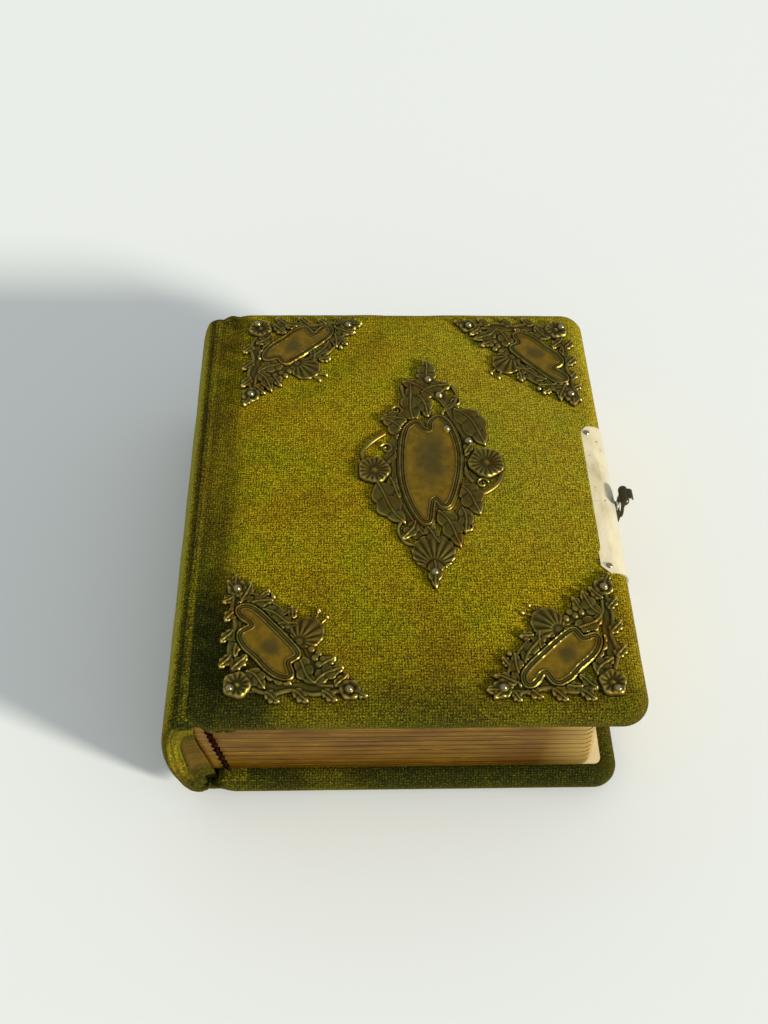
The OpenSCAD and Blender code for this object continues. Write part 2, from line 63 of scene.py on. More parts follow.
# middle of the center ornament, and each corner's X, Y, cosine and sine of its quarter turns
CENTRE = (72.3, 6.0, 51.9)
CORNERS = {
    "tail_spine_corner": (16, -67.2, 1, 0),
    "tail_fore_corner": (120, -67.2, 0, 1),
    "head_fore_corner": (120, 67.2, -1, 0),
    "head_spine_corner": (16, 67.2, 0, -1),
}
# the corner ornaments rise a little towards the cover's middle
CORNER_LEVEL = 50.65
CORNER_SLOPE = 0.0074


def smooth(low, high, value):
    t = np.clip((value - low) / (high - low), 0, 1)
    return t * t * (3 - 2 * t)


def unevenness(x, y, size, phase):
    """Soft hand-made unevenness from -1 to 1, about size mm from one rise to the next."""
    k = 2 * math.pi / size
    waves = (
        np.sin(k * x * 0.83 + phase) * np.sin(k * y * 0.71 + 1.7 * phase)
        + 0.6 * np.sin(k * (0.53 * x + 0.91 * y) + 2.3 * phase)
        + 0.5 * np.sin(k * (1.31 * y - 0.47 * x) + 0.9 * phase)
    )
    return waves / 2.1


def curve(points, closed=False):
    """A smooth line through points, in six steps from each to the next."""
    p = np.array(points, float)
    p = np.concatenate([p[-1:], p, p[:2]] if closed else [p[:1], p, p[-1:]])
    line = []
    for a, b, c, d in zip(p, p[1:], p[2:], p[3:]):
        for t in np.arange(6) / 6:
            bend = (c - a) * t + (2 * a - 5 * b + 4 * c - d) * t**2 + (3 * b - a - 3 * c + d) * t**3
            line.append(b + 0.5 * bend)
    if not closed:
        line.append(p[-1])
    return np.array(line)


def measured(line):
    """How far along a line each of its points lies."""
    return np.concatenate([[0], np.cumsum(np.hypot(*np.diff(line, axis=0).T))])


def between(place, places, line):
    """Both coordinates of a line at a place, where its points lie at places."""
    return np.interp(place, places, line[:, 0]), np.interp(place, places, line[:, 1])


# ---------- colour and material helpers


def paint(code):
    """An sRGB hex colour as the linear values that a shader socket takes."""
    srgb = [int(code[i : i + 2], 16) / 255 for i in (1, 3, 5)]
    return [c / 12.92 if c <= 0.04045 else ((c + 0.055) / 1.055) ** 2.4 for c in srgb] + [1.0]


def feed(tree, node, inputs):
    """Gives each of a node's inputs a value or a link."""
    for key, value in dict(inputs).items():
        if isinstance(value, bpy.types.NodeSocket):
            tree.links.new(value, node.inputs[key])
        else:
            node.inputs[key].default_value = value


def add(tree, kind, inputs=(), **settings):
    """A new node with its options set and its inputs fed."""
    node = tree.nodes.new(kind)
    for key, value in settings.items():
        setattr(node, key, value)
    feed(tree, node, inputs)
    return node


def ramp(tree, factor, stops):
    """Colours in sRGB hex, each at its place from 0 to 1."""
    node = add(tree, "ShaderNodeValToRGB", {"Fac": factor})
    points = node.color_ramp.elements
    while len(points) < len(stops):
        points.new(0.5)
    for point, (place, colour) in zip(points, stops):
        point.position = place
        point.color = paint(colour)
    return node.outputs["Color"]


def finish_of(name):
    """A new material with its shader ready, as (material, tree, shader)."""
    material = bpy.data.materials.new(name)
    material.use_nodes = True
    tree = material.node_tree
    return material, tree, tree.nodes["Principled BSDF"]


def maths(tree, operation, a, b=0.5):
    return add(tree, "ShaderNodeMath", {0: a, 1: b}, operation=operation).outputs[0]


def plus(tree, base, value, weight):
    return maths(tree, "ADD", base, maths(tree, "MULTIPLY", value, weight))


def blend_colours(tree, factor, a, b, way="MIX"):
    inputs = {0: factor, 6: a, 7: b}
    return add(tree, "ShaderNodeMix", inputs, data_type="RGBA", blend_type=way).outputs[2]


def attribute(tree, name):
    return add(tree, "ShaderNodeAttribute", attribute_name=name).outputs["Fac"]


def noise(tree, place, scale, detail=3.0, roughness=0.6):
    inputs = {"Vector": place, "Scale": scale, "Detail": detail, "Roughness": roughness}
    return add(tree, "ShaderNodeTexNoise", inputs).outputs["Fac"]


def vector_maths(tree, operation, a, b=(0, 0, 0)):
    return add(tree, "ShaderNodeVectorMath", {0: a, 1: b}, operation=operation).outputs[0]


def stretched(tree, place, x, y, z):
    return vector_maths(tree, "MULTIPLY", place, (x, y, z))


def axis_of(tree, place, axis):
    return add(tree, "ShaderNodeSeparateXYZ", {"Vector": place}).outputs[axis]


def share_from(tree, value, start, end, top=1.0):
    """From 0 where value is start, evenly up to top where it is end."""
    inputs = {"Value": value, "From Min": start, "From Max": end, "To Max": top}
    return add(tree, "ShaderNodeMapRange", inputs).outputs[0]


def bump(tree, height, strength, distance):
    inputs = {"Height": height, "Strength": strength, "Distance": distance}
    return add(tree, "ShaderNodeBump", inputs).outputs[0]


# ---------- finishes


def plush(name):
    """Worn cotton velvet: a cut pile that stands in fine squares over a coarse ground weave.
    The attribute it reads says how dark the pile is: below 0 it is painted paler, a painted sheen;
    from 0 to 1 it goes dull olive, from rubbing and from painted shade; beyond 1.15 its brown
    lining shows."""
    material, tree, shader = finish_of(name)
    weave = add(tree, "ShaderNodeUVMap", uv_map="Weave").outputs[0]
    place = add(tree, "ShaderNodeTexCoord").outputs["Object"]
    wear_and_painted_light = attribute(tree, "wear_and_painted_light")
    wander = add(tree, "ShaderNodeTexNoise", {"Vector": weave, "Scale": 0.35, "Detail": 2.0})
    pushed = stretched(tree, wander.outputs["Color"], 0.9, 0.9, 0.0)
    warped = vector_maths(tree, "ADD", weave, pushed)
    # ribs 0.78 mm apart across the book and 0.74 mm apart along it, and a shade for each tuft
    ribs = []
    for direction, scale in (("X", 0.403), ("Y", 0.425)):
        inputs = {"Vector": warped, "Scale": scale}
        inputs.update({"Distortion": 0.8, "Detail": 3.0, "Detail Scale": 3.0})
        rib = add(tree, "ShaderNodeTexWave", inputs, wave_type="BANDS", bands_direction=direction)
        ribs.append(rib.outputs["Fac"])
    grid = maths(tree, "MULTIPLY", *ribs)
    tuft = vector_maths(tree, "FLOOR", stretched(tree, warped, 1.28, 1.35, 0.0))
    each = add(tree, "ShaderNodeTexWhiteNoise", {"Vector": tuft}, noise_dimensions="2D")
    hairs = noise(tree, stretched(tree, weave, 2.9, 1.7, 0.0), 1.0, 3.0, 0.75)
    tufts = plus(tree, maths(tree, "MULTIPLY", grid, 0.15), hairs, 1.2)
    tufts = plus(tree, tufts, each.outputs["Value"], 0.1)
    tufts = maths(tree, "SUBTRACT", tufts, 0.1)
    olives = [(0.37, "#191602"), (0.5, "#493f03"), (0.61, "#756703"), (0.76, "#bba310")]
    greens = [(0.36, "#070a02"), (0.52, "#181b05"), (0.68, "#2d2e06"), (0.88, "#6b660e")]
    # the dark greens colour pile dulled by rubbing and painted shade alike
    pile, rubbed_and_shaded_pile = ramp(tree, tufts, olives), ramp(tree, tufts, greens)
    patches = noise(tree, place, 30.0, 5.0)
    dull = plus(tree, wear_and_painted_light, maths(tree, "SUBTRACT", patches, 0.5), 1.1)
    dull = add(tree, "ShaderNodeClamp", {"Value": dull}).outputs[0]
    colour = blend_colours(tree, dull, pile, rubbed_and_shaded_pile)
    hue = noise(tree, place, 60.0)
    tint = ramp(tree, hue, [(0.36, "#f0ffdc"), (0.5, "#ffffff"), (0.64, "#fff3dc")])
    colour = blend_colours(tree, 1.0, colour, tint, "MULTIPLY")
    # painted sheen: below 0 the pile is painted paler, standing in for the light that the back of
    # the spine throws at a low angle
    painted_sheen = share_from(tree, wear_and_painted_light, 0.0, -0.9)
    painted_sheen_colour = ramp(tree, tufts, [(0.36, "#4a450f"), (0.56, "#857f22"), (0.76, "#b3ad40")])
    colour = blend_colours(tree, painted_sheen, colour, painted_sheen_colour)
    # beyond 1.15 the brown lining of the spine's ends shows
    lining = share_from(tree, wear_and_painted_light, 1.15, 1.5)
    threads = noise(tree, stretched(tree, place, 40.0, 40.0, 2600.0), 1.0, 4.0, 0.5)
    threads = ramp(tree, threads, [(0.36, "#2e210a"), (0.64, "#5e4518")])
    colour = blend_colours(tree, lining, colour, threads)
    relief = bump(tree, tufts, 0.9, 0.4 * MM)
    feed(tree, shader, {"Base Color": colour, "Roughness": 0.9, "Normal": relief})
    # the pile throws light back at a low angle
    sheen = {"Sheen Weight": 0.25, "Sheen Roughness": 0.3, "Sheen Tint": paint("#b09a10")}
    feed(tree, shader, sheen | {"Specular IOR Level": 0.06})
    return material


def bronzed(name):
    """Pressed brass, bronzed dark: the lacquer stays black in the hollows and has come off to show
    brass on the ridges. The blank fields are smoother and warmer, with a dark patch from rubbing."""
    material, tree, shader = finish_of(name)
    place = add(tree, "ShaderNodeTexCoord").outputs["Object"]
    mottle = noise(tree, place, 420.0, 4.0)
    depth = plus(tree, attribute(tree, "hollow"), mottle, 0.2)
    level = share_from(tree, depth, -0.22, 0.42)
    browns = [(0.0, "#b0a05a"), (0.18, "#887836"), (0.38, "#665922"), (0.58, "#403812")]
    metal = ramp(tree, level, browns + [(0.86, "#110f04")])
    # the lacquer has gone reddish in places and greenish in others
    tints = [(0.3, "#e2efc2"), (0.46, "#ffffff"), (0.56, "#fff6dc"), (0.7, "#ffdba4")]
    stain = ramp(tree, noise(tree, place, 130.0), tints)
    metal = blend_colours(tree, 1.0, metal, stain, "MULTIPLY")
    field = ramp(tree, mottle, [(0.3, "#6c5410"), (0.7, "#8e701c")])
    field = blend_colours(tree, attribute(tree, "smudge"), field, paint("#4a4220"))
    colour = blend_colours(tree, attribute(tree, "satin"), metal, field)
    grain = bump(tree, noise(tree, place, 1500.0), 0.25, 0.1 * MM)
    feed(tree, shader, {"Base Color": colour, "Metallic": 0.9, "Normal": grain})
    feed(tree, shader, {"Roughness": plus(tree, 0.34, level, 0.25)})
    return material


def nickelled(name):
    """Nickel-plated sheet gone dull and warm, with grey smears, specks and a few rubs."""
    material, tree, shader = finish_of(name)
    place = add(tree, "ShaderNodeTexCoord").outputs["Object"]
    smear = noise(tree, stretched(tree, place, 1.0, 0.45, 1.0), 160.0, 5.0)
    # the specks stand in clusters
    crowd = maths(tree, "SUBTRACT", noise(tree, place, 170.0, 1.0), 0.42)
    specks = plus(tree, noise(tree, place, 800.0, 2.0, 0.5), crowd, 0.5)
    cloudy = ramp(tree, smear, [(0.32, "#b5a67e"), (0.46, "#d6c79d"), (0.62, "#e6d8b4")])
    spotted = ramp(tree, specks, [(0.27, "#8a7d60"), (0.33, "#ffffff")])
    colour = blend_colours(tree, 1.0, cloudy, spotted, "MULTIPLY")
    # painted shade: greyer where the sheet turns down over the edge of the cover, dimming the
    # highlight there
    turned = share_from(tree, axis_of(tree, place, "X"), 56.2 * MM, 60.4 * MM)
    colour = blend_colours(tree, turned, colour, paint("#a9a693"))
    roughness = plus(tree, 0.62, smear, -0.3)
    feed(tree, shader, {"Base Color": colour, "Roughness": roughness, "Metallic": 0.25})
    return material


def gilt_leaf(name):
    """Card leaf: gilding thinned by rubbing, with fine ply lines on its cut edges, glazed cream on
    its faces.
    """
    material, tree, shader = finish_of(name)
    spot = add(tree, "ShaderNodeTexCoord")
    place = spot.outputs["Object"]
    plies = noise(tree, stretched(tree, place, 22, 22, 1900), 1.0, 5.0, 0.75)
    flecks = noise(tree, stretched(tree, place, 110, 110, 2600), 1.0, 2.0, 0.5)
    rubs = noise(tree, stretched(tree, place, 45, 45, 110), 1.0, 4.0)
    gilt = ramp(tree, plies, [(0.34, "#664409"), (0.5, "#8a630a"), (0.66, "#ac8119")])
    bright = ramp(tree, flecks, [(0.68, "#000000"), (0.75, "#a88c44")])
    gilt = blend_colours(tree, 1.0, gilt, bright, "ADD")
    faded = ramp(tree, rubs, [(0.35, "#d4c49c"), (0.6, "#ffffff")])
    gilt = blend_colours(tree, 1.0, gilt, faded, "MULTIPLY")
    moire = noise(tree, stretched(tree, place, 60, 420, 60), 1.0, 3.0)
    cream = ramp(tree, moire, [(0.3, "#bdab80"), (0.7, "#c9b98f")])
    upright = axis_of(tree, spot.outputs["Normal"], "Z")
    flat = maths(tree, "GREATER_THAN", maths(tree, "ABSOLUTE", upright), 0.6)
    # the gilding runs a little way over each face at the tail and the head
    from_middle = maths(tree, "ABSOLUTE", axis_of(tree, place, "Y"))
    flat = maths(tree, "MULTIPLY", flat, maths(tree, "LESS_THAN", from_middle, 66.5 * MM))
    # painted light: the gilding is painted brighter towards the fore edge, where the light falls on
    # the block's end
    painted_fore_edge_light = share_from(tree, axis_of(tree, place, "X"), 36 * MM, 54 * MM, 0.7)
    gilt = blend_colours(tree, painted_fore_edge_light, gilt, paint("#ecca70"))
    colour = blend_colours(tree, flat, gilt, cream)
    metallic = maths(tree, "MULTIPLY", maths(tree, "SUBTRACT", 1.0, flat), 0.9)
    roughness = plus(tree, 0.45, flat, 0.3)
    feed(tree, shader, {"Base Color": colour, "Roughness": roughness, "Metallic": metallic})
    feed(tree, shader, {"Specular IOR Level": 0.2})
    return material


def plain(name, colour, roughness, metallic=0.0, specular=0.5):
    material, tree, shader = finish_of(name)
    look = {"Base Color": paint(colour), "Roughness": roughness, "Metallic": metallic}
    feed(tree, shader, look | {"Specular IOR Level": specular})
    return material


VELVET = plush("olive_cotton_velvet")
BRONZED = bronzed("bronzed_pressed_brass")
NICKEL = nickelled("dulled_nickel_plate")
# the hasp and its pin, in a dark metal colour
DARK_IRON = plain("dark_hasp_metal", "#453f2a", 0.42, 0.9)
# the domed nails, polished bright by rubbing
NAIL = plain("polished_nail_head", "#8f8468", 0.24, 1.0)
# the endpapers
CARD = plain("glazed_card", "#c8b88e", 0.7)
GILT = gilt_leaf("gilt_edged_card")
# the boards and the other hidden card
BOARD = plain("millboard", "#8c7450", 0.9)
# the guards' dark cotton, quite matt
CLOTH = plain("guard_cloth", "#240c08", 0.95, specular=0.05)


# a CAD node takes the first finish with a mark that its name holds
FINISHES = (
    (("leaf_", "stubs"), GILT),
    (("guard_",), CLOTH),
    (("hasp",), DARK_IRON),
    (("_nails",), NAIL),
    (("clasp_plate", "catch_stud"), NICKEL),
    (("ornament", "corner"), BRONZED),
    (("endpaper",), CARD),
    (("",), BOARD),
)
for node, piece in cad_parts.items():
    fitting = [finish for marks, finish in FINISHES if any(mark in node for mark in marks)]
    piece.data.materials.clear()
    piece.data.materials.append(fitting[0])


# ---------- velvet pieces


def read_points(mesh):
    flat = np.zeros(len(mesh.vertices) * 3)
    mesh.vertices.foreach_get("co", flat)
    return flat.reshape(-1, 3)


def shade_smooth(mesh):
    for face in mesh.polygons:
        face.use_smooth = True


def write_points(mesh, points):
    metres = np.stack([points[:, 0] - SPINE_TO_MIDDLE, points[:, 1], points[:, 2]], 1) * MM
    mesh.vertices.foreach_set("co", metres.astype(np.float32).ravel())
    mesh.update()
    shade_smooth(mesh)


def grid_piece(name, columns, rows, shape):
    """A sheet of columns by rows squares. shape gives each point's place, weave place and darkness,
    which holds rubbing, painted shade and painted sheen, from its two shares, from 0 to 1, across
    the sheet and up it."""
    bm = bmesh.new()
    bmesh.ops.create_grid(bm, x_segments=columns, y_segments=rows, size=1)
    mesh = bpy.data.meshes.new(name)
    bm.to_mesh(mesh)
    bm.free()
    flat = read_points(mesh)
    points, weave, wear_and_painted_light = shape((flat[:, 0] + 1) / 2, (flat[:, 1] + 1) / 2)
    write_points(mesh, points)
    layer = mesh.uv_layers.new(name="Weave")
    corner = np.zeros(len(mesh.loops), int)
    mesh.loops.foreach_get("vertex_index", corner)
    layer.data.foreach_set("uv", weave[corner].astype(np.float32).ravel())
    wear_and_light_layer = mesh.attributes.new("wear_and_painted_light", "FLOAT", "POINT")
    wear_and_light_layer.data.foreach_set("value", wear_and_painted_light.astype(np.float32))
    return mesh


def settled(piece):
    """The piece with its modifiers worked into its mesh."""
    view = bpy.context.evaluated_depsgraph_get()
    mesh = bpy.data.meshes.new_from_object(piece.evaluated_get(view), depsgraph=view)
    piece.modifiers.clear()
    piece.data = mesh
    return piece


def thicken(piece, thickness):
    """Gives a sheet its thickness, on the side that its faces look away from."""
    wall = piece.modifiers.new("thickness", "SOLIDIFY")
    wall.thickness = thickness * MM
    wall.offset = -1
    return settled(piece)


def show(name, mesh, material):
    piece = bpy.data.objects.new(name, mesh)
    bpy.context.scene.collection.objects.link(piece)
    mesh.materials.append(material)
    return piece


# radius of the padded edge, how far the velvet goes in past it, and both laid flat
EDGE_ROUND = 4.3
TURN_IN = 5.0
WRAP = (COVER_CORNER - EDGE_ROUND) + math.pi * EDGE_ROUND + TURN_IN
# beside the joint: X where a cover's velvet ends, half its height there, its thin hem, and
# what the hem gains at the front cover's tail
GUTTER_END = 6.6
GUTTER_HALF = 71.4
HEM = 1.0
TAIL_HEM_MORE = 2.3
VELVET_THICK = 0.8


def corner_dip(x, y):
    """Share by which the plush is pressed flat under the corner ornaments, and its level there."""
    press = np.zeros_like(x)
    level = np.zeros_like(x)
    for cx, cy, cosine, sine in CORNERS.values():
        lx, ly = (x - cx) * (cosine - sine), (y - cy) * (cosine + sine)
        reach = lx + ly
        here = smooth(58, 46, reach) * smooth(46, 40, np.maximum(lx, ly))
        level = np.where(here > press, CORNER_SLOPE * reach, level)
        press = np.maximum(press, here)
    return press, np.maximum(level, 0)


def cover_wear_and_painted_light(x, y, bent, up):
    """How dark a cover's pile is coloured, at most 1, from rubbing, stains, painted shade and
    painted light. bent is how far it has gone round the edge.
    """
    tail = smooth(10, -70, y)
    wear_and_painted_light = (
        # the joint, widening towards the tail: pile dulled by rubbing, and painted shade where the
        # cover slopes down into the joint
        (0.6 + 0.35 * tail) * (1 - smooth(9, 19 + 14 * tail, x + 3 * unevenness(y, x, 31, 0.4)))
        # darker at both ends, painted shade falling off towards the tail, and most of all a stain
        # along the tail
        + 0.15 * (1 - smooth(0.5, 9, HALF_HEIGHT - np.abs(y)))
        + 0.2 * smooth(-20, -60, y)
        + 0.35 * smooth(-55, -68, y + 3 * unevenness(x, y, 43, 2.2))
        # darker round the edges; painted light, brighter at the fore edge towards the head; painted
        # shade at the tail's corner by the spine
        + 0.2 * smooth(0.5, 2.2, bent)
        - 0.2 * smooth(40, 110, x) * smooth(-60, 20, y)
        + 0.3 * smooth(34, 14, x) * smooth(-30, -62, y)
        # the back cover all over
        + (0 if up > 0 else 0.5)
    )
    return np.minimum(wear_and_painted_light, 1)


def cover_shape(face, up, crown, edge_round, dip, meet):
    """Places the points of a cover's velvet. face is the level of its outer side at the edge,
    dip is how far it sinks along the joint and meet how far below the face the spine begins."""

    def padded(inset):
        """Share of the padding's full height at a distance from the cover's edge."""
        return 1 - np.exp(-np.maximum(inset - 3.5, 0) / 5.5)

    def shape(u, v):
        # a and b: the place on the flat sheet. far: how deep that is in its margin, which goes
        # over the edge at angle
        a = GUTTER_END + u * (FORE_EDGE - COVER_CORNER + WRAP - GUTTER_END)
        b = (2 * v - 1) * (HALF_HEIGHT - COVER_CORNER + WRAP)
        ra = np.maximum(a - (FORE_EDGE - COVER_CORNER), 0)
        rb = np.maximum(np.abs(b) - (HALF_HEIGHT - COVER_CORNER), 0)
        far = np.maximum(ra, rb)
        safe = np.maximum(far, 1e-6)
        angle = np.where(ra >= rb, 0.25 * math.pi * rb / safe, math.pi * (0.5 - 0.25 * ra / safe))
        # the rounded edge thins to a hem where the sheet runs into the joint
        joint = smooth(10.8, 13.8, a)
        more = TAIL_HEM_MORE if up > 0 else 0
        thin = HEM + more * (b < 0) * smooth(7.0, 9.6, a)
        roll = thin + (edge_round - thin) * joint
        # there the sheet also ends short, and the front cover's most of all at the head
        reach = GUTTER_HALF + (HALF_HEIGHT - GUTTER_HALF) * smooth(11.0, 14.0, a)
        if up > 0:
            reach = reach - 2.2 * (1 - smooth(GUTTER_END, 12.0, a)) * (b > 0)
        flat = reach - (HALF_HEIGHT - COVER_CORNER) - roll
        turn = (far - (COVER_CORNER - EDGE_ROUND)) / EDGE_ROUND
        bent = np.clip(turn, 0, math.pi)
        inward = np.maximum(turn - math.pi, 0) * EDGE_ROUND * (roll / edge_round)
        inward = inward * (1 - 0.6 * (1 - joint) * (thin > HEM))
        # the turn-in is cut away at each corner, so that it lies flat there
        cut = smooth(0.0, 0.3, np.sin(2 * angle))
        inward = inward * (1 - 0.56 * cut)
        share = np.clip(far / (COVER_CORNER - EDGE_ROUND), 0, 1)
        d = flat * share + roll * np.sin(bent) - inward
        x = np.minimum(a, FORE_EDGE - COVER_CORNER) + d * np.cos(angle)
        y = np.sign(b) * (np.minimum(np.abs(b), HALF_HEIGHT - COVER_CORNER) + d * np.sin(angle))
        top = (dip - meet) * (1 - smooth(GUTTER_END, 10.5, x)) - dip * (1 - smooth(11.0, 16.8, x))
        swell = crown * padded(FORE_EDGE - x) * padded(HALF_HEIGHT - np.abs(y)) * padded(x - 12.6)
        if up > 0:
            press, level = corner_dip(x, y)
            swell = swell * (1 - press) + level * press
        under_plate = (np.abs(y - PLATE_Y) < PLATE_HALF) & (x > PLATE_START)
        loose = np.where(under_plate, 0, 1) * smooth(0.15, 0.6, swell + 0.4)
        lumps = 0.10 * unevenness(x, y, 23, 0.7 + face) + 0.05 * unevenness(x, y, 9, 2.1)
        outward = top + swell + loose * lumps - roll * (1 - np.cos(bent))
        # the turn-in sinks into the board, as if pressed there, and deeper at the corners
        outward = outward + 0.5 * (1 + 1.4 * cut) * smooth(0.6, 1.8, inward)
        z = face + up * outward
        if up < 0:
            z = np.maximum(z, 0)
        # the weave is spaced by the sheet's own length, as measured half way up it
        middle = np.abs(v - 0.5) < 1e-6
        line = measured(np.stack([x[middle], z[middle]], 1))
        weave = np.stack([np.interp(u, u[middle], line), b], 1)
        return np.stack([x, y, z], 1), weave, cover_wear_and_painted_light(x, y, bent, up)

    return shape


def cover_velvet(name, nodes, **sizes):
    mesh = grid_piece(name, 134, 174, cover_shape(**sizes))
    if sizes["up"] < 0:
        mesh.flip_normals()
    piece = thicken(show(name, mesh, VELVET), VELVET_THICK)
    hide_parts(*nodes)
    return piece


front_velvet = cover_velvet(
    "front_cover_velvet",
    ["front_velvet", "front_padding"],
    face=50.6,
    up=1,
    crown=1.3,
    edge_round=EDGE_ROUND,
    dip=1.1,
    meet=1.65,
)
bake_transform(front_velvet)
back_velvet = cover_velvet(
    "back_cover_velvet",
    ["back_velvet", "back_padding"],
    face=0.6,
    up=-1,
    crown=0.6,
    edge_round=4.2,
    dip=2.7,
    meet=3.15,
)
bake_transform(back_velvet)


# ---------- spine: a curved back with a rounded shoulder at each joint, its ends rolled inwards

# radius of the curved back and of its shoulders, their outermost levels, half the back's length
SPINE_BEND = 59.7
SHOULDER = 2.7
HIGH_SHOULDER = 48.9
LOW_SHOULDER = 3.8
SPINE_HALF = 69.9
SPINE_THICK = 0.7
# inner ends of the rolled cloth, as X and level, from the low joint to the high one
ROLL_INNER = np.array(
    [(11.4, 5.2), (11.0, 9.0), (10.5, 13), (9.5, 19), (8.7, 25), (8.0, 31), (8.2, 37.5)]
    + [(10.2, 44.8)]
)
# how the cloth goes in at the tail and head: share of the way to those ends, and how far out
ROLL_PATH = curve(
    [(0, 0), (0.03, 1.1), (0.14, 1.95), (0.3, 1.9), (0.42, 1.1), (0.47, 0.1), (0.52, -0.9)]
    + [(0.62, -1.5), (0.8, -1.7), (1.0, -1.8)]
)
ROLL_CLOTH = 11.0


def spine_line():
    """The outer line of the spine's section, from the low joint round to the high one."""

    def face_x(z):
        return SPINE_BEND - math.sqrt(SPINE_BEND**2 - (z - MIDDLE_LEVEL) ** 2)

    def arc(z, start, end, count):
        middle = face_x(z) + SHOULDER
        turns = [math.radians(t) for t in np.linspace(start, end, count)]
        return [(middle + SHOULDER * math.cos(a), z + SHOULDER * math.sin(a)) for a in turns]

    low, high = LOW_SHOULDER + SHOULDER, HIGH_SHOULDER - SHOULDER
    face = [(face_x(z), z) for z in np.linspace(low + 0.6, high - 0.6, 40)]
    low_arcs = arc(low, -20, -90, 8) + arc(low, -104, -170, 5)
    return np.array(low_arcs + face + arc(high, 170, 104, 5) + arc(high, 90, 20, 8))


def spine_shape(u, v):
    """The inner half of the columns covers the back, the rest goes in at the tail and head."""
    line = spine_line()
    length = measured(line)
    s = v * length[-1]
    ox, oz = between(s, length, line)
    ix, iz = between(v, np.linspace(0, 1, len(ROLL_INNER)), ROLL_INNER)
    side = np.sign(2 * u - 1)
    half = np.abs(2 * u - 1)
    # the shoulders end a little short: the upper one at the head, the lower one at both ends
    short = 2.6 * smooth(42.5, HIGH_SHOULDER, oz) * (side > 0)
    straight = SPINE_HALF - short - 0.4 * smooth(9, 4, oz)
    past = np.maximum(half - 0.5, 0) * 2 * ROLL_CLOTH
    b = np.minimum(half, 0.5) * 2 * straight + past
    # past the ends the cloth follows the roll's path, gathered in folds
    inward, out = between(past, np.linspace(0, ROLL_CLOTH, len(ROLL_PATH)), ROLL_PATH)
    gather = 0.5 * unevenness(s, past, 17, 1.3)
    folds = smooth(0.6, 2.2, past) * smooth(7.6, 5.6, past)
    wave = np.sin(2 * math.pi * (past / 1.75 + gather))
    wave = wave * (0.75 + 0.25 * unevenness(s, past, 6, 2.0))
    out = out + 0.26 * folds * wave
    x = ox + (ix - ox) * inward * (1 + 0.06 * folds * gather)
    z = oz + (iz - oz) * inward
    y = side * (np.minimum(half, 0.5) * 2 * straight + np.where(past > 0, out, 0))
    swell = 0.08 * unevenness(side * b, s, 19, 3.3) * smooth(8, 14, z) * smooth(46, 40, z)
    x = np.maximum(x + swell, 0.0)
    # painted sheen high up on the back, away from the ends; darker along the upper shoulder, from
    # rubbing and from painted shade of the joint; darker low down and where the cloth goes in at
    # the ends
    high = smooth(26, 35, oz)
    painted_sheen = high * smooth(5.7, 3.7, ox) * smooth(1.5, 0, past) * (1 - 0.7 * smooth(54, 69, b))
    shoulder = high * smooth(4.0, 5.8, ox) * (1 - 0.3 * smooth(5.8, 6.8, ox))
    wear_and_painted_light = 0.05 + 0.5 * smooth(24, 6, z) + 0.9 * shoulder
    wear_and_painted_light = np.minimum(wear_and_painted_light + 0.5 * smooth(0.5, 2, past), 1) - painted_sheen
    # the lining shows inside the roll
    wear_and_painted_light = wear_and_painted_light + 0.9 * smooth(4.6, 6.6, past) * smooth(36, 33, z) * smooth(11, 17, z)
    return np.stack([x, y, z], 1), np.stack([s, side * b], 1), wear_and_painted_light


spine_mesh = grid_piece("spine_velvet_skin", 180, 70, spine_shape)
spine_skin = thicken(show("spine_velvet_skin", spine_mesh, VELVET), SPINE_THICK)
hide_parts("spine_velvet", "tail_cap", "head_cap")
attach(spine_skin, "spine")


# ---------- cloth guards: gathered strips that hinge each leaf on its stub, frayed at both ends

LEAVES = 11
LEAF_PITCH = 2.9
LEAF_THICK = 2.6
BLOCK_TOP = 41.4
LEAF_END = 67.5
FIRST_HINGE = 10.9
HINGE_STEP = 0.34
# share of each half strip that is its frayed end
FRAYED = 0.1
# a guard's gap to its leaf's faces, its folds' places beside the hinge, and its cloth
GUARD_INSET = 0.32
FOLD_FROM = -0.5
FOLD_TO = 0.25
GUARD_THICK = 0.25


def guard_strip(number, hinge, level):
    def shape(u, v):
        fray = 0.3 + np.abs(np.sin(23.1 * v + 5.3 * number) * np.sin(9.7 * v + number))
        half = np.abs(2 * u - 1)
        end = np.maximum(half - (1 - FRAYED), 0) / FRAYED
        b = LEAF_END * np.minimum(half / (1 - FRAYED), 1) + fray * end
        b = np.sign(2 * u - 1) * b
        fold = np.abs(((v * 4) % 2) - 1)
        x = hinge + FOLD_FROM + (FOLD_TO - FOLD_FROM) * fold * (1 - 0.55 * end)
        x = x + 0.12 * unevenness(b, v * 9, 13, number) + 2.4 * (fray - 0.5) * end
        rise = 0.5 + (v - 0.5) * (1 - 0.45 * end)
        z = level + GUARD_INSET + (LEAF_THICK - 2 * GUARD_INSET) * rise
        z = z + 0.1 * unevenness(b, v * 7, 9, 2.0 * number)
        return np.stack([x, b, z], 1), np.stack([v * 3, b], 1), 0 * v

    return shape


for number in range(1, LEAVES + 1):
    hinge = FIRST_HINGE + HINGE_STEP * (number - 1)
    level = BLOCK_TOP - LEAF_PITCH * number + LEAF_PITCH - LEAF_THICK
    mesh = grid_piece(f"guard_cloth_{number:02d}", 90, 16, guard_strip(number, hinge, level))
    guard = show(f"guard_cloth_{number:02d}", mesh, CLOTH)
    thicken(guard, GUARD_THICK)
    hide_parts(f"guard_{number:02d}")
    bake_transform(guard)


# ---------- turned-in velvet along each board's spine edge, inside the joint

# the front cover's, as X and level: the back cover's lies as far below the middle level
INNER_EDGE = [(19.8, 42.0), (14.5, 42.0), (13.2, 42.6), (12.7, 44.0), (12.6, 46.0), (12.9, 47.4)]
INNER_SHORT = 1.2


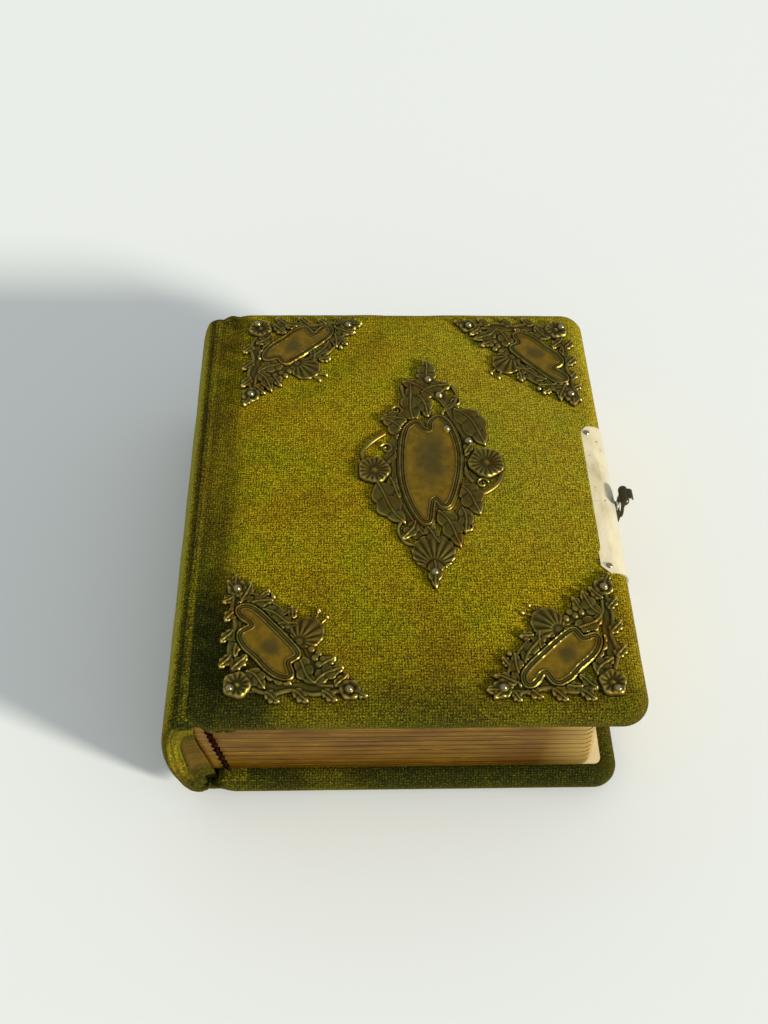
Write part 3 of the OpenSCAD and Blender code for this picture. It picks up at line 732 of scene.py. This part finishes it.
def inner_strip(mirrored):
    def shape(u, v):
        line = curve(INNER_EDGE)
        length = measured(line)
        s = v * length[-1]
        x, z = between(s, length, line)
        b = (2 * u - 1) * (HALF_HEIGHT - INNER_SHORT)
        x = x + 0.08 * unevenness(b, s, 15, 1.1)
        z = 2 * MIDDLE_LEVEL - z if mirrored else z
        return np.stack([x, b, z], 1), np.stack([s, b], 1), 0.8 + 0 * v

    return shape


for name, cover, mirrored in (
    ("front_inner_velvet", "front_cover", False),
    ("back_inner_velvet", "back_cover", True),
):
    mesh = grid_piece(name, 110, 18, inner_strip(mirrored))
    if mirrored:
        mesh.flip_normals()
    strip = thicken(show(name, mesh, VELVET), VELVET_THICK)
    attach(strip, cover)


# ---------- stamped ornaments: thin sheet pressed over a carved die, then nailed on

STAMP_STEP = 0.22
# the sheet's least rise above its ground, its steepness at its outline, and how far its closed
# back lies below the ground
LIP = 0.14
STEEP = 1.7
BACKED = 0.25
# a nail's flat seat: its radius and its rise
SEAT_RADIUS = 1.35
SEAT_RISE = 1.28


def nearest(x, y, line, closed=False):
    """Distance to a line, and how far along it the nearest place lies, from 0 to 1."""
    ends = np.roll(line, -1, 0) if closed else line[1:]
    best = np.full(x.shape, 1e9)
    share = np.zeros(x.shape)
    for k, end in enumerate(ends):
        start = line[k]
        run = end - start
        t = np.clip(((x - start[0]) * run[0] + (y - start[1]) * run[1]) / (run @ run), 0, 1)
        distance = np.hypot(x - start[0] - t * run[0], y - start[1] - t * run[1])
        share = np.where(distance < best, (k + t) / len(ends), share)
        best = np.minimum(distance, best)
    return best, share


def within(x, y, line):
    inside = np.zeros(x.shape, bool)
    for (ax, ay), (bx, by) in zip(line, np.roll(line, -1, 0)):
        if ay != by:
            inside ^= ((ay > y) != (by > y)) & (x < (bx - ax) * (y - ay) / (by - ay) + ax)
    return inside


def ridge(distance, place, rise, width):
    return rise * np.exp(-(((distance - place) / width) ** 2))


def rolled(edge, rise):
    """The rise, brought down to the sheet's lip towards its outline."""
    return np.minimum(rise, LIP + STEEP * np.maximum(edge, 0))


class Stamping:
    """Raised forms pressed into one sheet. edge is how far inside its outline a point lies."""

    def __init__(self, x, y):
        self.x, self.y = x, y
        self.edge = np.full(x.shape, -9.0)
        self.rise = np.zeros(x.shape)
        self.satin = np.zeros(x.shape)
        self.smudge = np.zeros(x.shape)

    def press(self, edge, rise):
        highest = np.maximum(self.rise, rolled(edge, rise))
        self.rise = np.where(edge > 0, highest, self.rise)
        self.edge = np.maximum(self.edge, edge)

    def leaf(self, root, tip, width, bend=0.0, top=0.6, fullest=0.8):
        run = (tip[0] - root[0], tip[1] - root[1])
        length = math.hypot(*run)
        dx, dy = self.x - root[0], self.y - root[1]
        along = (dx * run[0] + dy * run[1]) / length**2
        share = np.clip(along, 0, 1)
        side = (dy * run[0] - dx * run[1]) / length - bend * 4 * share * (1 - share)
        side -= 0.05 * width * np.sin(2 * math.pi * share)
        half = 0.56 * width * np.sin(math.pi * share**fullest) ** 0.75
        # three lobes a side, each with its own hollow, and a margin that curls up
        lobe = np.abs(np.sin(3 * math.pi * (share - 0.1 * np.abs(side) / width)))
        half = half * (0.8 + 0.3 * lobe)
        edge = half - np.hypot(side, (along - share) * length)
        across = np.clip(np.abs(side) / np.maximum(half, 0.05), 0, 1)
        rise = 0.45 + top * np.sqrt(1 - across**2) * (0.7 + 0.3 * share)
        rise += ridge(edge, 0.38, 0.26, 0.22) + ridge(side, 0, 0.2, 0.2)
        rise -= 0.28 * (1 - lobe) ** 2 * smooth(0.1, 0.4, across)
        rise -= ridge(np.abs(side), 0.42, 0.16, 0.16)
        self.press(edge, rise)

    def flower(self, centre, radius, petals, ribs, top=0.85, turn=0.0):
        dx, dy = self.x - centre[0], self.y - centre[1]
        angle = np.arctan2(dy, dx) + turn
        rim = radius * (1 + 0.05 * np.cos(petals * angle))
        share = np.hypot(dx, dy) / rim
        cup = (0.3 + 0.7 * smooth(0.2, 0.8, share)) * (1 - 0.35 * smooth(0.85, 1, share))
        rise = 0.35 + top * cup
        rise += 0.13 * np.cos(ribs * angle) * smooth(0.25, 0.6, share) * smooth(1.02, 0.9, share)
        rise += 0.08 * np.cos(petals * angle) * smooth(0.5, 1, share)
        rise += 0.6 * np.exp(-((share / 0.17) ** 2))
        self.press(rim * (1 - share), rise)

    def shell(self, centre, radius, facing, ribs, top=0.75, spread=1.0):
        """A fan of ribs from a hinge at the shell's lower edge. facing is in degrees."""
        a = math.radians(facing)
        dx, dy = self.x - centre[0], self.y - centre[1]
        ahead = dx * math.cos(a) + dy * math.sin(a)
        side = (dy * math.cos(a) - dx * math.sin(a)) / spread
        angle = np.arctan2(side, ahead + 0.75 * radius)
        reach = np.hypot(side, ahead + 0.75 * radius) / radius
        edge = radius * (1 + 0.03 * np.cos(ribs * 2 * angle)) - np.hypot(ahead, side)
        dome = np.sqrt(np.clip(edge / radius, 0, 1))
        rise = 0.4 + top * dome + 0.15 * np.cos(ribs * 2 * angle) * smooth(0.25, 0.6, reach)
        rise += ridge(edge, 0.45, 0.15, 0.25) - ridge(reach, 0.28, 0.3, 0.12)
        self.press(edge, rise)

    def cord(self, points, start, end, top=0.45, groove=0.0):
        distance, share = nearest(self.x, self.y, curve(points))
        half = 0.5 * (start + (end - start) * share)
        across = np.clip(distance / half, 0, 1)
        rise = 0.35 + top * np.sqrt(1 - across**2) - groove * np.exp(-((across / 0.4) ** 2))
        self.press(half - distance, rise)

    def curl(self, centre, radius, start, turns, width):
        """A cord that winds inwards. start is in degrees; turns below 0 wind clockwise."""
        points = []
        for t in np.linspace(0, 1, 10):
            a = math.radians(start) + turns * 2 * math.pi * t
            r = radius * (1 - 0.72 * t)
            points.append((centre[0] + r * math.cos(a), centre[1] + r * math.sin(a)))
        self.cord(points, width, width * 0.8, top=0.5)

    def bead(self, centre, radius, top):
        share = np.hypot(self.x - centre[0], self.y - centre[1]) / radius
        self.press(radius * (1 - share), 0.3 + top * np.sqrt(np.clip(1 - share**2, 0, 1)))

    def boss(self, centre):
        """The flat seat of a nail."""
        share = np.hypot(self.x - centre[0], self.y - centre[1]) / SEAT_RADIUS
        here = smooth(1.0, 0.7, share)
        self.rise = self.rise * (1 - here) + SEAT_RISE * here
        self.edge = np.maximum(self.edge, SEAT_RADIUS * (1 - share))

    def panel(self, points, band, smudge):
        """A smooth blank field inside three fine rims, on ground that runs on by band. smudge is
        the middle and the half sizes of its dark patch from rubbing."""
        line = curve(points, closed=True)
        distance = nearest(self.x, self.y, line, closed=True)[0]
        depth = np.where(within(self.x, self.y, line), distance, -distance)
        rims = ridge(depth, -0.1, 0.4, 0.2) + ridge(depth, -0.8, 0.3, 0.18)
        rims += ridge(depth, -1.5, 0.42, 0.2)
        rise = 0.62 + 0.25 * smooth(0, 5, depth) + rims
        edge = depth + band
        self.rise = np.where(edge > 0, rolled(edge, rise), self.rise)
        self.edge = np.maximum(self.edge, edge)
        self.satin = smooth(0.1, 0.5, depth)
        (cx, cy), (wide, high) = smudge
        near = np.hypot((self.x - cx) / wide, (self.y - cy) / high)
        near += 0.16 * unevenness(self.x, self.y, 6.5, 1.9)
        self.smudge = 0.75 * smooth(1.2, 0.3, near) * self.satin


def centre_forms(s):
    # low ground of dark scrollwork behind the leaves
    s.cord(
        [(0.8, 33.0), (-4.0, 27.0), (-7.4, 18.0), (-10.4, 8.0), (-12.6, 0.0)], 3.4, 3.0, top=0.15
    )
    s.cord([(0.8, 33.0), (6.4, 25.0), (10.4, 14.0), (12.0, 4.0)], 3.4, 3.0, top=0.15)
    s.cord([(-11.6, -4.0), (-9.6, -14.0), (-5.0, -24.0)], 3.6, 3.0, top=0.15)
    s.cord([(11.6, -4.0), (9.4, -12.0), (6.0, -20.0), (1.4, -26.0)], 3.4, 3.0, top=0.15)
    s.leaf((0.9, 33.2), (0.1, 42.2), 5.8, top=0.8, fullest=0.62)
    s.leaf((2.4, 27.0), (-7.6, 32.6), 6.2, bend=-1.0, top=0.7)
    s.leaf((-1.6, 28.0), (8.2, 31.6), 5.6, bend=1.2, top=0.7)
    s.leaf((-4.0, 16.6), (-4.8, 31.8), 5.6, bend=0.6, top=0.6)
    s.leaf((-2.8, 27.4), (0.2, 18.0), 4.4, bend=0.9)
    s.cord([(5.2, 15.6), (4.2, 19.4), (6.8, 23.4), (9.4, 22.6)], 1.5, 1.1)
    s.curl((-12.6, 6.6), 2.0, 150, -1.1, 1.0)
    s.curl((14.6, -6.2), 1.8, 20, 1.1, 1.0)
    s.cord([(-7.4, 31.0), (-6.9, 27.5), (-5.9, 23.5), (-6.2, 20.5), (-4.2, 17.8)], 1.5, 1.2)
    s.cord([(8.0, 31.2), (9.3, 27.2), (7.6, 23.0), (5.0, 21.2)], 1.5, 1.2)
    s.curl((8.5, 25.0), 1.9, 90, -1.2, 1.1)
    s.cord([(2.0, 27.5), (5.0, 24.5), (7.6, 17.5), (11.6, 9.2)], 1.9, 1.5, groove=0.2)
    s.curl((-9.4, 21.4), 1.8, -40, 1.2, 1.1)
    s.leaf((-6.2, 17.6), (-14.4, 17.4), 4.6, bend=-0.9)
    s.leaf((-5.6, 10.2), (-13.9, 17.9), 6.6, bend=-1.2, top=0.7)
    s.cord([(-13.2, 12.4), (-16.8, 9.4), (-19.6, 5.6), (-19.4, 2.4)], 1.8, 1.4)
    s.cord([(-8.6, 8.2), (-9.8, 4.0), (-12.4, 1.4)], 2.4, 1.6)
    s.flower((-16.3, -1.4), 5.0, 5, 16)
    s.cord(
        [(-10.2, 2.0), (-10.4, -4.0), (-9.2, -10.5), (-6.2, -17.2), (-3.1, -23.2)],
        2.6,
        1.9,
        groove=0.25,
    )
    s.leaf((-15.6, -5.8), (-7.6, -20.6), 7.2, bend=-1.0, top=0.75)
    s.leaf((-12.0, -4.0), (-9.0, -12.0), 4.0)
    s.leaf((-5.0, -19.2), (-9.4, -26.0), 3.8, bend=0.6)
    s.cord([(-8.9, -19.0), (-10.0, -22.4), (-8.4, -26.4), (-5.4, -27.6)], 1.3, 1.1)
    s.leaf((8.0, 21.8), (16.6, 7.2), 7.6, bend=1.8, top=0.7)
    s.cord([(8.2, 21.6), (13.0, 19.6), (16.4, 13.6), (16.6, 8.0)], 1.2, 1.1, top=0.7)
    s.leaf((9.6, 3.4), (12.8, 9.6), 3.2)
    s.flower((16.3, 1.2), 5.6, 5, 18, turn=0.5)
    s.cord([(20.6, -2.6), (19.0, -6.2), (15.6, -9.2), (12.6, -10.4)], 1.9, 1.4)
    s.cord([(9.4, 1.0), (10.4, -3.2), (11.6, -5.4)], 2.2, 1.4)
    s.leaf((7.4, -6.4), (13.4, -17.6), 6.8, bend=1.0, top=0.7)
    s.leaf((8.0, -14.6), (8.6, -24.0), 4.2, bend=0.8)
    s.curl((9.2, -21.4), 1.9, 100, -1.1, 1.1)
    s.leaf((1.2, -15.8), (7.2, -28.6), 5.8, bend=1.0, top=0.65)
    s.leaf((-2.4, -21.0), (1.6, -27.2), 4.0)
    s.shell((-0.5, -29.8), 5.9, 90, 11, spread=1.06)
    s.leaf((-0.5, -32.6), (-0.3, -42.0), 4.2, top=0.8, fullest=0.62)
    s.panel(
        [(-5.2, 14.4), (-3.6, 15.5), (-2.2, 13.4), (-0.4, 12.5), (1.2, 13.4), (1.5, 16.0)]
        + [(3.1, 17.6), (5.0, 16.0), (6.7, 11.2), (7.6, 4.9), (7.2, -1.3), (6.1, -6.7)]
        + [(4.7, -11.2), (3.4, -13.4), (2.2, -11.8), (0.9, -10.9), (-0.6, -12.1), (-1.2, -14.9)]
        + [(-1.9, -19.0), (-3.5, -17.2), (-5.5, -12.6), (-7.0, -6.7), (-7.4, -0.1), (-7.0, 7.4)]
        + [(-6.1, 12.5)],
        2.5,
        ((0.4, 2.6), (5.6, 12.0)),
    )
    for nail in ((0.8, 33.6), (3.8, 27.2), (5.4, 13.8), (11.6, 9.2), (-0.5, -36.4)):
        s.boss(nail)


def corner_forms(s):
    s.cord([(3.0, 31.0), (3.4, 22.0), (3.2, 12.0), (4.4, 5.0)], 2.8, 2.6, top=0.12)
    s.cord([(5.0, 4.0), (14.0, 3.6), (22.0, 3.8), (31.0, 3.0)], 2.8, 2.6, top=0.12)
    s.cord(
        [(4.0, 30.0), (10.0, 27.0), (16.0, 22.0), (21.0, 17.0), (24.0, 10.0), (26.0, 4.0)],
        3.2,
        2.6,
        top=0.12,
    )
    s.leaf((2.2, 30.4), (-0.8, 28.0), 2.8)
    s.leaf((7.6, 25.8), (3.0, 28.6), 3.2)
    s.leaf((29.0, 3.6), (32.6, 7.6), 3.0)
    s.leaf((9.2, 30.2), (11.8, 32.6), 2.6)
    s.bead((12.6, 30.2), 1.0, 0.8)
    s.leaf((18.2, 23.2), (17.4, 27.6), 2.8)
    s.leaf((25.4, 9.6), (29.6, 12.4), 2.8)
    s.leaf((3.4, 30.0), (2.4, 37.4), 4.2, bend=0.5)
    s.leaf((4.2, 28.6), (6.4, 35.4), 3.2, bend=-0.5)
    s.leaf((4.0, 31.0), (-0.2, 35.4), 3.2)
    s.leaf((5.2, 26.8), (13.2, 29.0), 4.2, bend=0.9)
    s.cord([(4.0, 31.6), (8.6, 30.6), (13.4, 27.6), (16.4, 25.2)], 1.3, 1.1)
    s.curl((16.4, 24.4), 1.5, 80, -1.1, 1.0)
    s.leaf((9.6, 26.4), (17.4, 21.4), 4.0, bend=0.7)
    s.leaf((13.6, 21.4), (19.6, 21.8), 3.6, bend=0.6)
    s.cord([(2.6, 33.0), (1.9, 27.0), (3.0, 21.0), (1.8, 15.0), (3.4, 8.6)], 1.5, 1.4)
    s.leaf((3.2, 27.0), (0.2, 22.4), 3.4)
    s.leaf((2.8, 20.4), (-0.6, 16.2), 3.2)
    s.leaf((4.4, 19.4), (3.6, 11.8), 3.8, bend=-0.5)
    s.leaf((2.6, 13.2), (-0.4, 9.0), 3.2)
    s.flower((4.4, 4.6), 3.9, 5, 12)
    s.leaf((6.4, 8.4), (11.6, 3.2), 4.4, bend=0.8)
    s.leaf((2.8, 8.6), (6.8, 13.4), 3.4)
    s.cord([(8.6, 3.4), (13.0, 2.0), (18.2, 3.0), (23.6, 1.8), (30.6, 2.8)], 1.5, 1.4)
    s.leaf((11.4, 2.6), (15.6, -0.4), 3.2)
    s.leaf((11.0, 7.6), (18.4, 4.4), 4.2, bend=0.8)
    s.leaf((18.4, 3.0), (22.8, -0.4), 3.2)
    s.leaf((19.6, 12.6), (24.4, 4.4), 4.6, bend=-0.8)
    s.cord([(18.6, 12.0), (20.6, 8.4), (24.6, 4.6), (28.4, 4.0)], 1.4, 1.2)
    s.leaf((23.8, 4.6), (31.8, 9.4), 4.2, bend=0.9)
    s.leaf((25.6, 2.8), (30.0, -0.2), 3.0)
    s.shell((21.8, 19.4), 4.7, 52, 8, top=0.8)
    s.cord([(21.4, 18.8), (23.6, 22.4), (24.6, 25.6)], 0.9, 0.8, top=0.9)
    s.bead((24.7, 25.8), 0.9, 0.9)
    s.cord([(22.2, 18.6), (24.8, 21.2), (26.8, 23.6)], 0.8, 0.7, top=0.9)
    s.bead((26.9, 23.8), 0.8, 0.8)
    for berry in ((23.0, 14.4), (24.8, 13.2), (23.9, 11.9), (25.9, 11.5), (24.9, 10.1)):
        s.bead(berry, 1.2, 0.75)
    s.flower((32.8, 3.0), 3.0, 6, 6, top=0.6)
    s.leaf((33.6, 2.6), (37.6, 1.0), 2.6)
    s.flower((3.0, 32.8), 2.8, 6, 6, top=0.6)
    s.panel(
        [(4.5, 26.0), (6.4, 26.2), (9.0, 24.2), (12.0, 21.0), (15.4, 17.3), (18.5, 13.4)]
        + [(17.8, 12.4), (16.4, 11.4), (16.3, 9.6), (17.0, 7.4), (15.1, 7.7), (12.5, 9.5)]
        + [(9.5, 13.0), (6.5, 15.9), (5.2, 18.7), (7.3, 20.2), (8.2, 21.5), (7.3, 23.2)]
        + [(5.5, 24.5)],
        2.1,
        ((12.6, 15.2), (3.6, 3.0)),
    )
    for nail in ((32.6, 3.0), (3.0, 32.6), (2.6, 3.6)):
        s.boss(nail)


def hollows(rise):
    """How far each point of a grid lies below the points round it, up to nine steps off."""
    level = rise.copy()
    for _ in range(9):
        wide = np.pad(level, 1, mode="edge")
        beside = wide[:-2, 1:-1] + wide[2:, 1:-1] + wide[1:-1, :-2] + wide[1:-1, 2:]
        level = (level + beside) / 5
    return level - rise


def stamped_sheet(name, low, high, forms):
    """A pressed sheet closed underneath, in its own plane, on a grid from corner to corner. Its
    points carry their rise, their hollow, and their share of blank field and of the dark patch."""
    columns = int((high[0] - low[0]) / STAMP_STEP)
    rows = int((high[1] - low[1]) / STAMP_STEP)
    bm = bmesh.new()
    bmesh.ops.create_grid(bm, x_segments=columns, y_segments=rows, size=1)
    bm.verts.ensure_lookup_table()
    shares = np.array([v.co[:2] for v in bm.verts])
    order = np.lexsort(shares.round(5).T)
    place = shares[order].reshape(rows + 1, columns + 1, 2)
    x = low[0] + (place[..., 0] + 1) / 2 * (high[0] - low[0])
    y = low[1] + (place[..., 1] + 1) / 2 * (high[1] - low[1])
    s = Stamping(x, y)
    forms(s)
    keep = s.edge > -0.5 * STAMP_STEP
    # each pass drops points without a whole square, and squares that meet only at a corner
    for _ in range(4):
        square = keep[:-1, :-1] & keep[1:, :-1] & keep[:-1, 1:] & keep[1:, 1:]
        around = np.pad(square, 1)
        a, b, c, d = around[:-1, :-1], around[1:, :-1], around[:-1, 1:], around[1:, 1:]
        keep = (a | b | c | d) & ~((a & d & ~b & ~c) | (b & c & ~a & ~d))
    # points just outside the outline come back onto it
    slope_y, slope_x = np.gradient(s.edge, y[1, 0] - y[0, 0], x[0, 1] - x[0, 0])
    steep = np.maximum(slope_x**2 + slope_y**2, 0.3)
    back = np.where(s.edge < 0, -s.edge, 0) / steep
    x, y = x + slope_x * back, y + slope_y * back
    rise = np.maximum(s.rise, LIP)
    hollow = hollows(np.where(keep, rise, 0))
    layers = [bm.verts.layers.float.new(key) for key in ("rise", "hollow", "satin", "smudge")]
    values = np.stack([x, y, rise, hollow, s.satin, s.smudge], -1).reshape(-1, 6)
    unwanted = []
    for wanted, index, value in zip(keep.ravel(), order, values):
        vert = bm.verts[int(index)]
        if not wanted:
            unwanted.append(vert)
            continue
        vert.co = (value[0], value[1], 0)
        for layer, number in zip(layers, value[2:]):
            vert[layer] = number
    bmesh.ops.delete(bm, geom=unwanted, context="VERTS")
    raised = bmesh.ops.extrude_face_region(bm, geom=bm.faces[:], use_keep_orig=True)["geom"]
    for item in raised:
        if isinstance(item, bmesh.types.BMVert):
            item.co.z = BACKED + item[layers[0]]
    bmesh.ops.recalc_face_normals(bm, faces=bm.faces[:])
    mesh = bpy.data.meshes.new(name)
    bm.to_mesh(mesh)
    bm.free()
    return mesh


def fix_ornament(name, mesh, points, node):
    write_points(mesh, points)
    mesh.set_sharp_from_angle(angle=math.radians(70))
    piece = show(name, mesh, BRONZED)
    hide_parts(node)
    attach(piece, "front_cover")


cx, cy, ground = CENTRE
mesh = stamped_sheet("stamped_centre", (-22.6, -42.8), (22.8, 42.8), centre_forms)
points = read_points(mesh) + (cx, cy, ground - BACKED)
fix_ornament("stamped_centre", mesh, points, "center_ornament")

corner_mesh = stamped_sheet("stamped_corner", (-2.0, -2.0), (38.6, 38.6), corner_forms)
lx, ly, lz = read_points(corner_mesh).T
tilted = CORNER_LEVEL - BACKED + lz + CORNER_SLOPE * (lx + ly)
for node, (cx, cy, cosine, sine) in CORNERS.items():
    turned = (cx + lx * cosine - ly * sine, cy + lx * sine + ly * cosine, tilted)
    fix_ornament("stamped_" + node, corner_mesh.copy(), np.stack(turned, 1), node)


# ---------- hasp: the strip's edges rounded, as on a casting that has been filed and handled

hasp_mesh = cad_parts["hasp"].data.copy()
bm = bmesh.new()
bm.from_mesh(hasp_mesh)
bmesh.ops.remove_doubles(bm, verts=bm.verts[:], dist=0.01 * MM)
bm.to_mesh(hasp_mesh)
bm.free()
hasp_mesh.materials.clear()
cast_hasp = show("cast_hasp", hasp_mesh, DARK_IRON)
skin = cast_hasp.modifiers.new("skin", "REMESH")
skin.mode = "VOXEL"
skin.voxel_size = 0.16 * MM
filing = cast_hasp.modifiers.new("filing", "SMOOTH")
filing.factor = 0.5
filing.iterations = 6
shade_smooth(settled(cast_hasp).data)
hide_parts("hasp")
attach(cast_hasp, "hasp")


# ---------- floor, light and camera

FLOOR = plain("pale_table_linen", "#dcdfdb", 1.0, specular=0.0)
bpy.ops.mesh.primitive_plane_add(size=6, location=(0, 0, -0.4 * MM))
floor = bpy.context.object
floor.name = "table"
floor.data.materials.append(FLOOR)

world = bpy.data.worlds.new("studio")
bpy.context.scene.world = world
world.use_nodes = True
sky = world.node_tree.nodes["Background"]
feed(world.node_tree, sky, {"Color": paint("#e9eef2"), "Strength": 0.76})


# the photo's daylight, from a window far off
lamp_data = bpy.data.lights.new("window_light", "AREA")
lamp_data.shape = "DISK"
lamp_data.size = 3.48
lamp_data.energy = 11600.0
lamp_data.color = paint("#fffaf0")[:3]
lamp = bpy.data.objects.new("window_light", lamp_data)
lamp.location = (21.24, -10.86, 7.26)
towards_album = Vector((0, 0, 0.02)) - lamp.location
lamp.rotation_euler = towards_album.to_track_quat("-Z", "Y").to_euler()
bpy.context.scene.collection.objects.link(lamp)

# the camera as solved on the photo: place in metres, angles in radians (down, to the right and
# about its own axis) and focal length in the photo's pixels
CAMERA_PLACE = (-0.01623, -0.18132, 0.29095)
PITCH, YAW, ROLL = 0.948, 0.057, 0.043
FOCAL_LENGTH = 1050
PHOTO_HEIGHT = 1024
SENSOR = 36
level, down = math.cos(PITCH), math.sin(PITCH)
ahead = Vector((math.sin(YAW) * level, math.cos(YAW) * level, -down))
right = ahead.cross(Vector((0, 0, 1))).normalized()
above = right.cross(ahead)
tilted_right = right * math.cos(ROLL) + above * math.sin(ROLL)
tilted_above = above * math.cos(ROLL) - right * math.sin(ROLL)
camera_data = bpy.data.cameras.new("camera")
camera_data.sensor_width = SENSOR
camera_data.lens = SENSOR * FOCAL_LENGTH / PHOTO_HEIGHT
camera_data.clip_start = 0.01
camera = bpy.data.objects.new("camera", camera_data)
bpy.context.scene.collection.objects.link(camera)
turned = Matrix((tilted_right, tilted_above, -ahead)).transposed().to_4x4()
camera.matrix_world = Matrix.Translation(CAMERA_PLACE) @ turned
bpy.context.scene.camera = camera
bpy.context.scene.view_settings.view_transform = "Standard"
